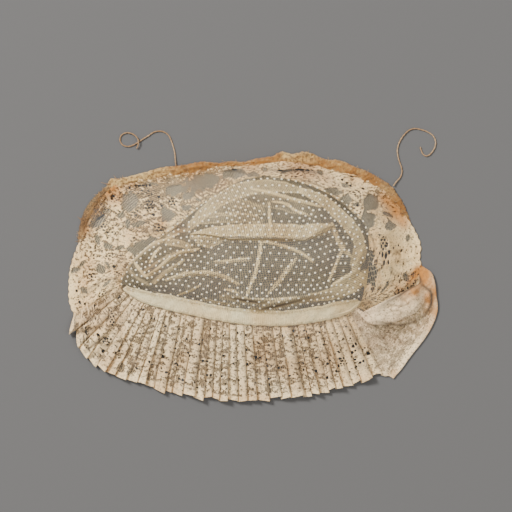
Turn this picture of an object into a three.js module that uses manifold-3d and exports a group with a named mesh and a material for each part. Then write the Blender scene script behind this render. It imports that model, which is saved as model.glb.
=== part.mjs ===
// A lace cap laid down on its open side, as it rests by itself: a puffed crown of spotted net, a plain
// band in front of it, a knife-pleated frill of lace below the band, a wall of lace round the sides and
// back, a rolled casing behind with the two free ends of its drawstring, and a turned-back ear of muslin
// at the right. Millimetres, +Z up. The face side looks towards -Y, and the table is the plane z = 0.
import * as THREE from 'three';
import { mergeVertices } from 'three/addons/utils/BufferGeometryUtils.js';
import Module from 'manifold-3d';

const wasm = await Module();
wasm.setup();

// Driving dimensions, in millimetres
const capWidth = 278;
const capDepth = 188;
const seamHeight = 24;
const crownPuff = 17;
const laceWall = 1;
const crownWall = 1;
const bandWidth = 11;
const bandWall = 1.6;
const bandSwell = 1.2;
const pleatCount = 30;
const pleatRise = 4;
const tabStep = 2;
const casingWidth = 6.5;
const casingHeight = 4.2;
const earWall = 1;
const earTuckRise = 6;
const earTuckReach = 7;
const earTuckLean = 0.4;
const earRollRise = 3;
const crownFoldRise = 3.4;
const crownFoldReach = 4.2;
const crownTuckRise = 4;
const crownTuckReach = 2.4;
const crownTuckFade = 0.3;
const cornerFoldRise = 2.6;
const stringDiameter = 1.1;
const seamGap = 0.7;
const stringGap = 0.3;
const eyeletLength = 4.2;
const eyeletWidth = 2.2;
const flowerRadius = 5;
const windowLength = 8;
const windowWidth = 5;
const windowSides = 6;

// Stations round the cap, counterclockwise from the right side. Hem is the outer edge and seam is where
// the lace is sewn on, both as shares of half the cap's width and depth. Lift is the seam's height as a
// share of seamHeight.
const stations = [
  { hemX: 0.897, hemY: 0.232, seamX: 0.622, seamY: 0.272, lift: 0.85 },
  { hemX: 0.838, hemY: 0.48, seamX: 0.6, seamY: 0.408, lift: 0.92 },
  { hemX: 0.752, hemY: 0.73, seamX: 0.524, seamY: 0.528, lift: 0.97 },
  { hemX: 0.578, hemY: 0.84, seamX: 0.416, seamY: 0.648, lift: 1 },
  { hemX: 0.389, hemY: 0.928, seamX: 0.254, seamY: 0.752, lift: 1 },
  { hemX: 0.173, hemY: 0.984, seamX: 0.092, seamY: 0.792, lift: 1 },
  { hemX: -0.07, hemY: 0.936, seamX: -0.054, seamY: 0.768, lift: 1 },
  { hemX: -0.286, hemY: 0.912, seamX: -0.195, seamY: 0.656, lift: 1 },
  { hemX: -0.503, hemY: 0.856, seamX: -0.297, seamY: 0.544, lift: 0.96 },
  { hemX: -0.757, hemY: 0.768, seamX: -0.405, seamY: 0.408, lift: 0.9 },
  { hemX: -0.87, hemY: 0.576, seamX: -0.514, seamY: 0.288, lift: 0.82 },
  { hemX: -0.94, hemY: 0.336, seamX: -0.611, seamY: 0.168, lift: 0.72 },
  { hemX: -0.995, hemY: 0.016, seamX: -0.681, seamY: 0.04, lift: 0.64 },
  { hemX: -1, hemY: -0.264, seamX: -0.708, seamY: -0.056, lift: 0.58 },
  { hemX: -0.984, hemY: -0.44, seamX: -0.692, seamY: -0.104, lift: 0.56 },
  { hemX: -0.914, hemY: -0.624, seamX: -0.649, seamY: -0.152, lift: 0.56 },
  { hemX: -0.773, hemY: -0.776, seamX: -0.573, seamY: -0.208, lift: 0.57 },
  { hemX: -0.584, hemY: -0.88, seamX: -0.465, seamY: -0.256, lift: 0.58 },
  { hemX: -0.368, hemY: -0.96, seamX: -0.297, seamY: -0.312, lift: 0.6 },
  { hemX: -0.07, hemY: -0.992, seamX: -0.081, seamY: -0.368, lift: 0.62 },
  { hemX: 0.227, hemY: -0.968, seamX: 0.162, seamY: -0.384, lift: 0.62 },
  { hemX: 0.443, hemY: -0.912, seamX: 0.346, seamY: -0.352, lift: 0.6 },
  { hemX: 0.6, hemY: -0.84, seamX: 0.465, seamY: -0.312, lift: 0.56 },
  { hemX: 0.681, hemY: -0.784, seamX: 0.519, seamY: -0.28, lift: 0.53 },
  { hemX: 0.755, hemY: -0.8, seamX: 0.545, seamY: -0.252, lift: 0.52 },
  { hemX: 0.996, hemY: -0.26, seamX: 0.567, seamY: -0.22, lift: 0.54 },
  { hemX: 0.91, hemY: 0.075, seamX: 0.585, seamY: -0.18, lift: 0.6 },
  { hemX: 0.9, hemY: 0.15, seamX: 0.612, seamY: 0.06, lift: 0.74 },
];

// Where each piece starts and ends, in stations. Past the last station the count runs on round.
const laceSpan = { from: 26.1, to: 41.35 };
const frillSpan = { from: 13.46, to: 23 };
const earSpan = { from: 23.14, to: 25.94 };
const casingSpan = { from: 0.9, to: 11.4 };
const casingEase = 0.8;
const leftStringStation = 7.6;
const rightStringStation = 1.97;

// The band's width along the front seam, as shares of bandWidth
const bandTaper = [
  { station: 13.2, width: 0 },
  { station: 13.7, width: 0.35 },
  { station: 15, width: 0.6 },
  { station: 17, width: 1 },
  { station: 22, width: 1 },
  { station: 24, width: 0.75 },
  { station: 25.7, width: 0.35 },
  { station: 26.2, width: 0 },
];

// One knife pleat: across is a share of its pitch and rise a share of pleatRise
const pleatProfile = [
  { across: 0, rise: 0 },
  { across: 0.3, rise: 0.62 },
  { across: 0.78, rise: 1 },
  { across: 0.9, rise: 0.35 },
];

// The casing's cross-section: out is a share of its width and up a share of its height
const rollProfile = [
  { out: 0.42, up: 0 },
  { out: -0.42, up: 0 },
  { out: -0.5, up: 0.3 },
  { out: -0.44, up: 0.66 },
  { out: -0.2, up: 0.94 },
  { out: 0.12, up: 1 },
  { out: 0.4, up: 0.74 },
  { out: 0.5, up: 0.3 },
];

// Pinched folds in the crown from one end to the other, in shares of half the cap's width and depth.
// Bow bends the fold sideways as a share of its length, and rise is a share of crownFoldRise.
const crownFolds = [
  { fromX: 0.08, fromY: 0.72, toX: 0.09, toY: 0.36, bow: 0.02, rise: 0.9 },
  { fromX: 0.045, fromY: 0.27, toX: -0.03, toY: -0.15, bow: 0.05, rise: 0.9 },
  { fromX: 0.08, fromY: 0.28, toX: 0.34, toY: 0.05, bow: 0.16, rise: 1 },
  { fromX: 0.23, fromY: 0.14, toX: 0.09, toY: -0.12, bow: -0.1, rise: 0.7 },
  { fromX: 0.46, fromY: 0.23, toX: 0.41, toY: -0.04, bow: -0.06, rise: 0.8 },
  { fromX: 0.44, fromY: 0.4, toX: 0.53, toY: 0.16, bow: -0.06, rise: 0.7 },
  { fromX: -0.62, fromY: 0.1, toX: -0.4, toY: 0.32, bow: 0.08, rise: 1 },
  { fromX: -0.57, fromY: 0.02, toX: -0.26, toY: 0.23, bow: 0.12, rise: 1 },
  { fromX: -0.55, fromY: -0.03, toX: -0.1, toY: -0.04, bow: 0.24, rise: 1.1 },
  { fromX: -0.2, fromY: 0.61, toX: 0.06, toY: 0.57, bow: 0.08, rise: 0.7 },
];

// The crown's deep tuck, where the cloth behind hangs over the cloth in front. Across runs from the
// crown's left end to its right and back from its front edge to its back edge, and depth is a share of
// the tuck's full rise and reach.
const crownTuck = [
  { across: 0, back: 0.76, depth: 0 },
  { across: 0.3, back: 0.86, depth: 0 },
  { across: 0.38, back: 0.78, depth: 0.8 },
  { across: 0.5, back: 0.64, depth: 1 },
  { across: 0.6, back: 0.59, depth: 1 },
  { across: 0.7, back: 0.56, depth: 1 },
  { across: 0.8, back: 0.66, depth: 0.6 },
  { across: 0.87, back: 0.7, depth: 0 },
  { across: 1, back: 0.7, depth: 0 },
];

// The crown's four corners on its seam, in stations
const crownCorners = { frontLeft: 13.3, frontRight: 24.6, backRight: 29.6, backLeft: 40.4, end: 41.3 };

// The ear's tuck as it is followed over the cloth from the tip to the side: along is the cloth's own
// length, shift a share of earTuckReach back under or over itself, and rise a share of earTuckRise
const earTuck = [
  { along: 0, shift: 0, rise: 0 },
  { along: 0.4, shift: 0, rise: 0 },
  { along: 0.48, shift: 0.55, rise: 0 },
  { along: 0.51, shift: 0.5, rise: 0.3 },
  { along: 0.54, shift: -0.8, rise: 0.5 },
  { along: 0.57, shift: -1, rise: 0.8 },
  { along: 0.61, shift: -0.7, rise: 1 },
  { along: 0.73, shift: 0, rise: 0.9 },
  { along: 1, shift: 0, rise: 0.2 },
];

// Soft folds in the lace wall: station is the middle, spread its half width in stations
const laceFolds = [
  { station: 39.6, spread: 0.28, rise: 0.9 },
  { station: 40.5, spread: 0.24, rise: 1.1 },
  { station: 41.1, spread: 0.18, rise: 0.9 },
  { station: 37.6, spread: 0.3, rise: 0.8 },
  { station: 36.4, spread: 0.26, rise: 0.7 },
  { station: 34.5, spread: 0.3, rise: 0.8 },
  { station: 32.8, spread: 0.25, rise: 0.7 },
  { station: 30.4, spread: 0.28, rise: 0.6 },
  { station: 28.6, spread: 0.3, rise: 0.7 },
  { station: 27.2, spread: 0.22, rise: 0.6 },
];

// How the free ends of the drawstring lie, as offsets in millimetres from where they leave the casing.
// Up is the height of the string's middle above its middle when it lies on the table.
const leftStringRoute = [
  { x: -0.5, y: 4.5, up: 0.35 },
  { x: -0.9, y: 9.6, up: 0 },
  { x: -2.9, y: 17.1, up: 0 },
  { x: -5.7, y: 23.2, up: 0 },
  { x: -10.5, y: 26.1, up: 0 },
  { x: -16.2, y: 25.6, up: 0 },
  { x: -21, y: 22.6, up: 0 },
  { x: -25.8, y: 19.6, up: 0 },
  { x: -29.2, y: 17.4, up: 0 },
  { x: -32.5, y: 15.6, up: 0 },
  { x: -36.3, y: 14.7, up: 0 },
  { x: -40.1, y: 16, up: 0 },
  { x: -42, y: 19.3, up: 0 },
  { x: -41.1, y: 22.9, up: 0 },
  { x: -37.3, y: 25, up: 0.1 },
  { x: -32.7, y: 24.2, up: 0.6 },
  { x: -29.3, y: 21.4, up: 1.3 },
  { x: -28.1, y: 18.6, up: 1.55 },
  { x: -28.4, y: 15.6, up: 1.2 },
  { x: -29.6, y: 13, up: 0.5 },
];
const rightStringRoute = [
  { x: 2.4, y: 3.4, up: 0.35 },
  { x: 5, y: 6.2, up: 0 },
  { x: 6.3, y: 9.8, up: 0 },
  { x: 6.1, y: 13.6, up: 0 },
  { x: 4.6, y: 17.8, up: 0 },
  { x: 3.3, y: 23, up: 0 },
  { x: 3.1, y: 28, up: 0 },
  { x: 4.8, y: 33.4, up: 0 },
  { x: 8.3, y: 38.6, up: 0 },
  { x: 12.2, y: 42, up: 0 },
  { x: 16.2, y: 43, up: 0 },
  { x: 21, y: 42.2, up: 0 },
  { x: 26, y: 40.3, up: 0 },
  { x: 29.8, y: 37.5, up: 0 },
  { x: 31.6, y: 33.4, up: 0 },
  { x: 31.2, y: 29.3, up: 0 },
  { x: 29.2, y: 25.7, up: 0 },
  { x: 26.8, y: 23.2, up: 0 },
  { x: 24.4, y: 22.5, up: 0 },
  { x: 22.1, y: 24, up: 0 },
  { x: 20.8, y: 26.8, up: 0 },
  { x: 20.1, y: 29.4, up: 0 },
];

const halfWidth = capWidth / 2;
const halfDepth = capDepth / 2;
const up = new THREE.Vector3(0, 0, 1);
const smoothstep = THREE.MathUtils.smoothstep;
const lerp = THREE.MathUtils.lerp;

const hemCurve = new THREE.CatmullRomCurve3(
  stations.map((s) => new THREE.Vector3(s.hemX * halfWidth, s.hemY * halfDepth, laceWall / 2)),
  true,
);
const seamCurve = new THREE.CatmullRomCurve3(
  stations.map((s) => new THREE.Vector3(s.seamX * halfWidth, s.seamY * halfDepth, s.lift * seamHeight)),
  true,
);

// A point of a closed curve at a station, which may run on past the last one
function pointAt(curve, station) {
  return curve.getPoint(THREE.MathUtils.euclideanModulo(station / stations.length, 1));
}

// The direction across a curve at a station, level and pointing to the cap's middle
function inwardAt(curve, station) {
  const along = curve.getTangent(THREE.MathUtils.euclideanModulo(station / stations.length, 1));
  return new THREE.Vector3(-along.y, along.x, 0).normalize();
}

// A table's column read between its rows
function readTable(rows, key, column, value) {
  const after = rows.findIndex((row) => row[key] > value);
  if (after < 0) return rows[rows.length - 1][column];
  if (after === 0) return rows[0][column];
  const low = rows[after - 1];
  const high = rows[after];
  return lerp(low[column], high[column], (value - low[key]) / (high[key] - low[key]));
}

// Evenly spaced values from 0 to 1
function shares(count) {
  return Array.from({ length: count + 1 }, (_, i) => i / count);
}

// Turns a share of the hem's length between two stations into a station
function evenStations(from, to) {
  const samples = 400;
  const lengths = [0];
  let last = pointAt(hemCurve, from);
  for (let i = 1; i <= samples; i += 1) {
    const next = pointAt(hemCurve, lerp(from, to, i / samples));
    lengths.push(lengths[i - 1] + next.distanceTo(last));
    last = next;
  }
  return (share) => {
    const wanted = share * lengths[samples];
    const above = Math.min(samples, Math.max(1, lengths.findIndex((length) => length >= wanted)));
    const part = (wanted - lengths[above - 1]) / (lengths[above] - lengths[above - 1]);
    return lerp(from, to, (above - 1 + part) / samples);
  };
}

// A quadratic curve in plan from a row with two ends and a bow, as points
function planLine(row, points) {
  const start = new THREE.Vector2(row.fromX * halfWidth, row.fromY * halfDepth);
  const end = new THREE.Vector2(row.toX * halfWidth, row.toY * halfDepth);
  const across = new THREE.Vector2(start.y - end.y, end.x - start.x);
  const middle = start.clone().add(end).multiplyScalar(0.5).addScaledVector(across, 2 * row.bow);
  return new THREE.QuadraticBezierCurve(start, middle, end).getPoints(points);
}

// The nearest place on a plan line: its distance, its side (positive on the left) and its share along
function nearest(line, x, y) {
  const found = { distance: Infinity, side: 0, share: 0 };
  for (let i = 0; i + 1 < line.length; i += 1) {
    const dx = line[i + 1].x - line[i].x;
    const dy = line[i + 1].y - line[i].y;
    const part = ((x - line[i].x) * dx + (y - line[i].y) * dy) / (dx * dx + dy * dy);
    const held = THREE.MathUtils.clamp(part, 0, 1);
    const distance = Math.hypot(x - line[i].x - held * dx, y - line[i].y - held * dy);
    if (distance < found.distance) {
      found.distance = distance;
      found.side = Math.sign(dx * (y - line[i].y) - dy * (x - line[i].x));
      found.share = (i + held) / (line.length - 1);
    }
  }
  return found;
}

// Fades to nothing at both ends of a line
function endFade(share) {
  return Math.sqrt(Math.max(0, Math.sin(Math.PI * THREE.MathUtils.clamp(share, 0, 1))));
}

// A closed cloth wall about a middle surface. at(a, b) is its point: a runs counterclockwise round the
// cap and b inwards, so that the wall's face looks up.
function clothWall(at, columns, rows, thickness) {
  const wide = columns.length;
  const deep = rows.length;
  const middle = columns.map((a) => rows.map((b) => at(a, b)));
  const positions = [];
  const faces = [];
  for (const side of [0.5, -0.5]) {
    for (let i = 0; i < wide; i += 1) {
      for (let j = 0; j < deep; j += 1) {
        const along = middle[Math.min(i + 1, wide - 1)][j].clone().sub(middle[Math.max(i - 1, 0)][j]);
        const inward = middle[i][Math.min(j + 1, deep - 1)].clone().sub(middle[i][Math.max(j - 1, 0)]);
        const normal = along.cross(inward).normalize();
        positions.push(...middle[i][j].clone().addScaledVector(normal, side * thickness));
      }
    }
  }
  const top = (i, j) => i * deep + j;
  const bottom = (i, j) => (wide + i) * deep + j;
  const quad = (p, q, r, s) => faces.push(p, q, r, p, r, s);
  for (let i = 0; i + 1 < wide; i += 1) {
    for (let j = 0; j + 1 < deep; j += 1) {
      quad(top(i, j), top(i + 1, j), top(i + 1, j + 1), top(i, j + 1));
      quad(bottom(i, j), bottom(i, j + 1), bottom(i + 1, j + 1), bottom(i + 1, j));
    }
    quad(bottom(i, 0), bottom(i + 1, 0), top(i + 1, 0), top(i, 0));
    quad(bottom(i + 1, deep - 1), bottom(i, deep - 1), top(i, deep - 1), top(i + 1, deep - 1));
  }
  for (let j = 0; j + 1 < deep; j += 1) {
    quad(bottom(0, j + 1), bottom(0, j), top(0, j), top(0, j + 1));
    quad(bottom(wide - 1, j), bottom(wide - 1, j + 1), top(wide - 1, j + 1), top(wide - 1, j));
  }
  return indexedGeometry(positions, faces);
}

function indexedGeometry(positions, faces) {
  const geometry = new THREE.BufferGeometry();
  geometry.setAttribute('position', new THREE.Float32BufferAttribute(positions, 3));
  geometry.setIndex(faces);
  return geometry;
}

// A closed roll through rings of points, each ring counterclockwise as seen against the way it runs
function rollThrough(rings) {
  const sides = rings[0].length;
  const positions = [];
  const faces = [];
  for (const ring of rings) for (const point of ring) positions.push(...point);
  for (let i = 0; i + 1 < rings.length; i += 1) {
    for (let k = 0; k < sides; k += 1) {
      const next = (k + 1) % sides;
      faces.push(i * sides + k, i * sides + next, (i + 1) * sides + next);
      faces.push(i * sides + k, (i + 1) * sides + next, (i + 1) * sides + k);
    }
  }
  const last = (rings.length - 1) * sides;
  for (let k = 1; k + 1 < sides; k += 1) {
    faces.push(0, k + 1, k);
    faces.push(last, last + k, last + k + 1);
  }
  return indexedGeometry(positions, faces);
}

function solidFrom(geometry) {
  const plain = geometry.clone();
  plain.deleteAttribute('normal');
  plain.deleteAttribute('uv');
  const merged = mergeVertices(plain, 1e-4);
  return new wasm.Manifold(
    new wasm.Mesh({
      numProp: 3,
      vertProperties: merged.attributes.position.array,
      triVerts: new Uint32Array(merged.index.array),
    }),
  );
}

function geometryFrom(solid) {
  const mesh = solid.getMesh();
  return indexedGeometry(Array.from(mesh.vertProperties), Array.from(mesh.triVerts));
}

// Cuts holes through a wall. Each hole has a place, the wall's directions there, a size and a corner count.
function pierce(geometry, holes, depth) {
  let solid = solidFrom(geometry);
  for (const hole of holes) {
    const outline = new THREE.CylinderGeometry(0.5, 0.5, depth, hole.sides);
    const frame = new THREE.Matrix4().makeBasis(hole.along, hole.normal, hole.across);
    outline.scale(hole.length, 1, hole.width);
    outline.applyMatrix4(frame);
    outline.translate(hole.place.x, hole.place.y, hole.place.z);
    solid = solid.subtract(solidFrom(outline));
  }
  return geometryFrom(solid);
}

// The frame of a hole on a wall at (a, b), turned in the wall by an angle and moved along and across it
function holeOn(at, a, b, turn, moved, size, sides) {
  const step = 0.004;
  const centre = at(a, b);
  const along = at(a + step, b).sub(at(a - step, b)).normalize();
  const inward = at(a, b + step).sub(at(a, b - step)).normalize();
  const normal = along.clone().cross(inward).normalize();
  const across = normal.clone().cross(along);
  const place = centre.addScaledVector(along, moved * Math.cos(turn)).addScaledVector(across, moved * Math.sin(turn));
  const pointing = along.clone().multiplyScalar(Math.cos(turn)).addScaledVector(across, Math.sin(turn));
  return {
    place,
    normal,
    along: pointing,
    across: pointing.clone().cross(normal),
    length: size.length,
    width: size.width,
    sides,
  };
}

// How much of the casing's full size there is at a station, from 0 to 1
function casingShare(station) {
  const place = THREE.MathUtils.euclideanModulo(station, stations.length);
  const rising = smoothstep(place, casingSpan.from - casingEase, casingSpan.from + 1.5 * casingEase);
  const falling = smoothstep(place, casingSpan.to - 1.5 * casingEase, casingSpan.to + casingEase);
  return rising * (1 - falling);
}

function bandShare(station) {
  return readTable(bandTaper, 'station', 'width', station);
}

// The crown's rim: the seam, drawn in past the band at the front
function crownRim(station, clearance) {
  const place = THREE.MathUtils.euclideanModulo(station, stations.length);
  const share = bandShare(place);
  const inset = bandWidth * share + clearance * (share > 0 ? 2 : 1);
  const rim = pointAt(seamCurve, place).addScaledVector(inwardAt(seamCurve, place), inset);
  rim.z += 0.5 * bandWidth * share;
  return rim;
}

// Slope of cloth that leaves the table softly and climbs to its seam, from 0 to 1
function climb(b) {
  return 0.5 - 0.5 * Math.cos(Math.PI * Math.pow(b, 1.1));
}

const foldLines = crownFolds.map((row) => ({ line: planLine(row, 12), rise: row.rise }));

// Height that the pinched folds add to the crown at a point in plan
function crownRelief(x, y) {
  let height = 0;
  for (const fold of foldLines) {
    const near = nearest(fold.line, x, y);
    const fall = Math.exp(-((near.distance / crownFoldReach) ** 2));
    height += crownFoldRise * fold.rise * fall * endFade(0.1 + 0.8 * near.share);
  }
  return height;
}

// The crown's plan, blended from its four edges
function crownPlan(a, b) {
  const c = crownCorners;
  const front = crownRim(lerp(c.frontLeft, c.frontRight, a), seamGap);
  const back = crownRim(lerp(c.backLeft, c.backRight, a), seamGap);
  const left = crownRim(lerp(c.end, c.backLeft, b), seamGap);
  const right = crownRim(lerp(c.frontRight, c.backRight, b), seamGap);
  const corners = [c.frontLeft, c.frontRight, c.backRight, c.backLeft].map((at) => crownRim(at, seamGap));
  const point = front.multiplyScalar(1 - b).addScaledVector(back, b);
  point.addScaledVector(left, 1 - a).addScaledVector(right, a);
  point.addScaledVector(corners[0], -(1 - a) * (1 - b)).addScaledVector(corners[1], -a * (1 - b));
  point.addScaledVector(corners[2], -a * b).addScaledVector(corners[3], -(1 - a) * b);
  return point;
}

// Rows run from 0 at the front edge to 1 at the tuck and on to 2 at the back edge
function crownAt(a, row) {
  const line = readTable(crownTuck, 'across', 'back', a);
  const depth = readTable(crownTuck, 'across', 'depth', a);
  const b = row < 1 ? row * line : line + (row - 1) * (1 - line);
  const point = crownPlan(a, b);
  const dome = Math.pow(Math.sin(Math.PI * a) * Math.sin(Math.PI * b), 0.7);
  const inside = smoothstep(dome, 0, 0.4);
  point.z += crownPuff * dome + crownRelief(point.x, point.y) * inside;
  const past = row - 1;
  const hung = past > 0 ? Math.exp(-past / crownTuckFade) * depth : 0;
  point.y -= crownTuckReach * hung;
  point.z += crownTuckRise * hung;
  return point;
}

function bandAt(a, b) {
  const station = lerp(bandTaper[1].station, bandTaper[6].station, a);
  const low = pointAt(seamCurve, station).addScaledVector(inwardAt(seamCurve, station), seamGap);
  const point = low.lerp(crownRim(station, 0), b);
  point.z += bandSwell * bandShare(station) * Math.sin(Math.PI * b);
  return point;
}

const laceStations = evenStations(laceSpan.from, laceSpan.to);

function laceAt(a, b) {
  const station = laceStations(a);
  const share = casingShare(station);
  const room = casingWidth * share + seamGap * Math.min(1, 3 * share);
  const outer = pointAt(hemCurve, station).addScaledVector(inwardAt(hemCurve, station), room);
  outer.z = lerp(laceWall / 2, casingHeight / 2, share);
  const inner = pointAt(seamCurve, station);
  const point = outer.clone().lerp(inner, b);
  point.z = lerp(outer.z, inner.z, climb(b));
  for (const fold of laceFolds) {
    const off = (station - fold.station) / fold.spread;
    point.z += cornerFoldRise * fold.rise * Math.exp(-off * off) * Math.sin(Math.PI * Math.min(1, b * 0.95 + 0.03));
  }
  return point;
}

// Flowers of small eyelets, and windows of open ground between them
function laceHoles() {
  const holes = [];
  const repeats = 10;
  const petals = 4;
  const eyelet = { length: eyeletLength, width: eyeletWidth };
  const window = { length: windowLength, width: windowWidth };
  for (let k = 0; k < repeats; k += 1) {
    const a = (k + 0.5) / repeats;
    for (let p = 0; p < petals; p += 1) {
      const turn = (p / petals) * 2 * Math.PI + 0.5 * k;
      holes.push(holeOn(laceAt, a, 0.46, turn, flowerRadius, eyelet, 4));
    }
    if (k + 1 < repeats) holes.push(holeOn(laceAt, a + 0.5 / repeats, 0.64, 0, 0, window, windowSides));
  }
  return holes;
}

const frillStations = evenStations(frillSpan.from, frillSpan.to);

function frillAt(a, b) {
  const station = frillStations(a);
  const pleat = Math.min(pleatCount - 1, Math.floor(a * pleatCount + 1e-6));
  const across = a * pleatCount - pleat;
  const crest = readTable([...pleatProfile, { across: 1, rise: 0 }], 'across', 'rise', across);
  const reach = tabStep * (0.5 + 0.5 * Math.sin(pleat * 2.4));
  const outer = pointAt(hemCurve, station).addScaledVector(inwardAt(hemCurve, station), reach);
  const inner = pointAt(seamCurve, station);
  const point = outer.clone().lerp(inner, b);
  point.z = lerp(outer.z, inner.z - pleatRise * 0.3, climb(b));
  point.z += pleatRise * crest * lerp(1, 0.3, b);
  return point;
}

// One eyelet on each third pleat of the frill
function frillHoles() {
  const holes = [];
  for (let pleat = 2; pleat < pleatCount; pleat += 3) {
    const a = (pleat + 0.45) / pleatCount;
    const size = { length: eyeletLength, width: eyeletWidth };
    holes.push(holeOn(frillAt, a, 0.35 + 0.3 * (pleat % 2), 0.5 * Math.PI, 0, size, 4));
  }
  return holes;
}

// The ear's cloth from the tip to the side, with its tuck drawn back over itself
function earAt(a, b) {
  const shift = readTable(earTuck, 'along', 'shift', a);
  const rise = readTable(earTuck, 'along', 'rise', a);
  const held = smoothstep(b, 0.1, 0.3) * (1 - smoothstep(b, 0.75, 1));
  const leant = a + earTuckLean * (0.5 - b) * 4 * a * (1 - a);
  const station = lerp(earSpan.from, earSpan.to, leant);
  const outer = pointAt(hemCurve, station);
  const inner = pointAt(seamCurve, station);
  const point = outer.clone().lerp(inner, b);
  point.z = lerp(outer.z, inner.z, climb(b)) + earTuckRise * rise * held;
  point.y += earTuckReach * shift * held;
  point.z += earRollRise * smoothstep(a, 0.3, 0.6) * Math.exp(-(((b - 0.05) / 0.06) ** 2));
  return point;
}

function casingRing(station, along) {
  const share = casingShare(station);
  const pucker = 1 - 0.1 * (0.5 + 0.5 * Math.sin(along * 2 * Math.PI * 13));
  const inward = inwardAt(hemCurve, station);
  const width = casingWidth * share;
  const middle = pointAt(hemCurve, station).addScaledVector(inward, width / 2);
  return rollProfile.map((row) => {
    const point = middle.clone().addScaledVector(inward, -row.out * width * pucker);
    point.z = row.up * casingHeight * Math.sqrt(share) * pucker;
    return point;
  });
}

function casingGeometry() {
  const steps = 52;
  const rings = shares(steps).map((a) => casingRing(lerp(casingSpan.from, casingSpan.to, a), a));
  return rollThrough(rings);
}

// A free end of the drawstring: it leaves the casing's side and lies on the table
function stringGeometry(station, route, steps) {
  const radius = stringDiameter / 2;
  const exit = pointAt(hemCurve, station).addScaledVector(inwardAt(hemCurve, station), -stringGap);
  exit.z = casingHeight * 0.3;
  const points = route.map((row) => new THREE.Vector3(exit.x + row.x, exit.y + row.y, radius + row.up));
  const path = new THREE.CatmullRomCurve3([exit, ...points]);
  const section = new THREE.Shape();
  const sides = 8;
  for (let k = 0; k < sides; k += 1) {
    const turn = ((k + 0.5) / sides) * 2 * Math.PI;
    if (k === 0) section.moveTo(radius * Math.cos(turn), radius * Math.sin(turn));
    else section.lineTo(radius * Math.cos(turn), radius * Math.sin(turn));
  }
  section.closePath();
  const geometry = new THREE.ExtrudeGeometry(section, { steps, extrudePath: path, bevelEnabled: false });
  return geometry;
}

const ivoryLace = new THREE.MeshStandardMaterial({ color: 0xd8c8ac, roughness: 0.95, metalness: 0 });
const spottedNet = new THREE.MeshStandardMaterial({ color: 0xd6cbb4, roughness: 0.95, metalness: 0 });
const plainTape = new THREE.MeshStandardMaterial({ color: 0xdccdb0, roughness: 0.9, metalness: 0 });
const stainedCloth = new THREE.MeshStandardMaterial({ color: 0xc79a66, roughness: 0.95, metalness: 0 });
const muslin = new THREE.MeshStandardMaterial({ color: 0xcbbca2, roughness: 0.95, metalness: 0 });
const linenThread = new THREE.MeshStandardMaterial({ color: 0xc9ae86, roughness: 0.85, metalness: 0 });

function piece(name, geometry, material) {
  const mesh = new THREE.Mesh(geometry, material);
  mesh.name = name;
  return mesh;
}

function crown() {
  const before = shares(9);
  const behind = [0.05, ...shares(7).slice(1)].map((share) => 1 + share);
  return piece('crown', clothWall(crownAt, shares(38), [...before, ...behind], crownWall), spottedNet);
}

function frontBand() {
  return piece('front_band', clothWall(bandAt, shares(30), shares(2), bandWall), plainTape);
}

function laceSurround() {
  const wall = clothWall(laceAt, shares(58), shares(5), laceWall);
  return piece('lace_surround', pierce(wall, laceHoles(), 5), ivoryLace);
}

function frontFrill() {
  const columns = [];
  for (let pleat = 0; pleat < pleatCount; pleat += 1) {
    for (const row of pleatProfile) columns.push((pleat + row.across) / pleatCount);
  }
  columns.push(1);
  const wall = clothWall(frillAt, columns, shares(3), laceWall);
  return piece('front_frill', pierce(wall, frillHoles(), 5), ivoryLace);
}

function muslinEar() {
  const tuckStart = earTuck[1].along;
  const columns = [...shares(4).map((share) => tuckStart * share), ...earTuck.slice(2, 8).map((row) => row.along)];
  columns.push(0.82, 0.91, 1);
  const rows = [0, 0.05, 0.1, ...shares(7).map((share) => 0.17 + 0.83 * share)];
  return piece('muslin_ear', clothWall(earAt, columns, rows, earWall), muslin);
}

function backCasing() {
  return piece('back_casing', casingGeometry(), stainedCloth);
}

const clothPieces = [crown(), frontBand(), laceSurround(), frontFrill(), muslinEar(), backCasing()];
const stringPieces = [
  piece('drawstring_left', stringGeometry(leftStringStation, leftStringRoute, 46), linenThread),
  piece('drawstring_right', stringGeometry(rightStringStation, rightStringRoute, 32), linenThread),
];

const cap = new THREE.Group();
cap.name = 'lace_cap';
cap.add(...clothPieces, ...stringPieces);

// The origin is on the table, under the middle of the cloth's box
const clothBox = new THREE.Box3();
for (const part of clothPieces) clothBox.expandByObject(part);
const middle = clothBox.getCenter(new THREE.Vector3());
cap.position.set(-middle.x, -middle.y, -clothBox.min.z);

export default cap;
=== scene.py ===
# %% [markdown]
# # An old lace cap, laid down on a table
# The cap is a crown of spotted net, a plain band, a pleated lace frill, a flat lace round the sides and
# back, a stained casing with its drawstring, and a turned-back ear of muslin. Every piece is cloth or
# thread. This lesson dresses the plain solids of the frame with cloth that has its own folds, holes and
# stains. Lengths are millimetres while a piece is laid out, and metres once it is in the scene.

# %% Load the frame
import math

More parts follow.
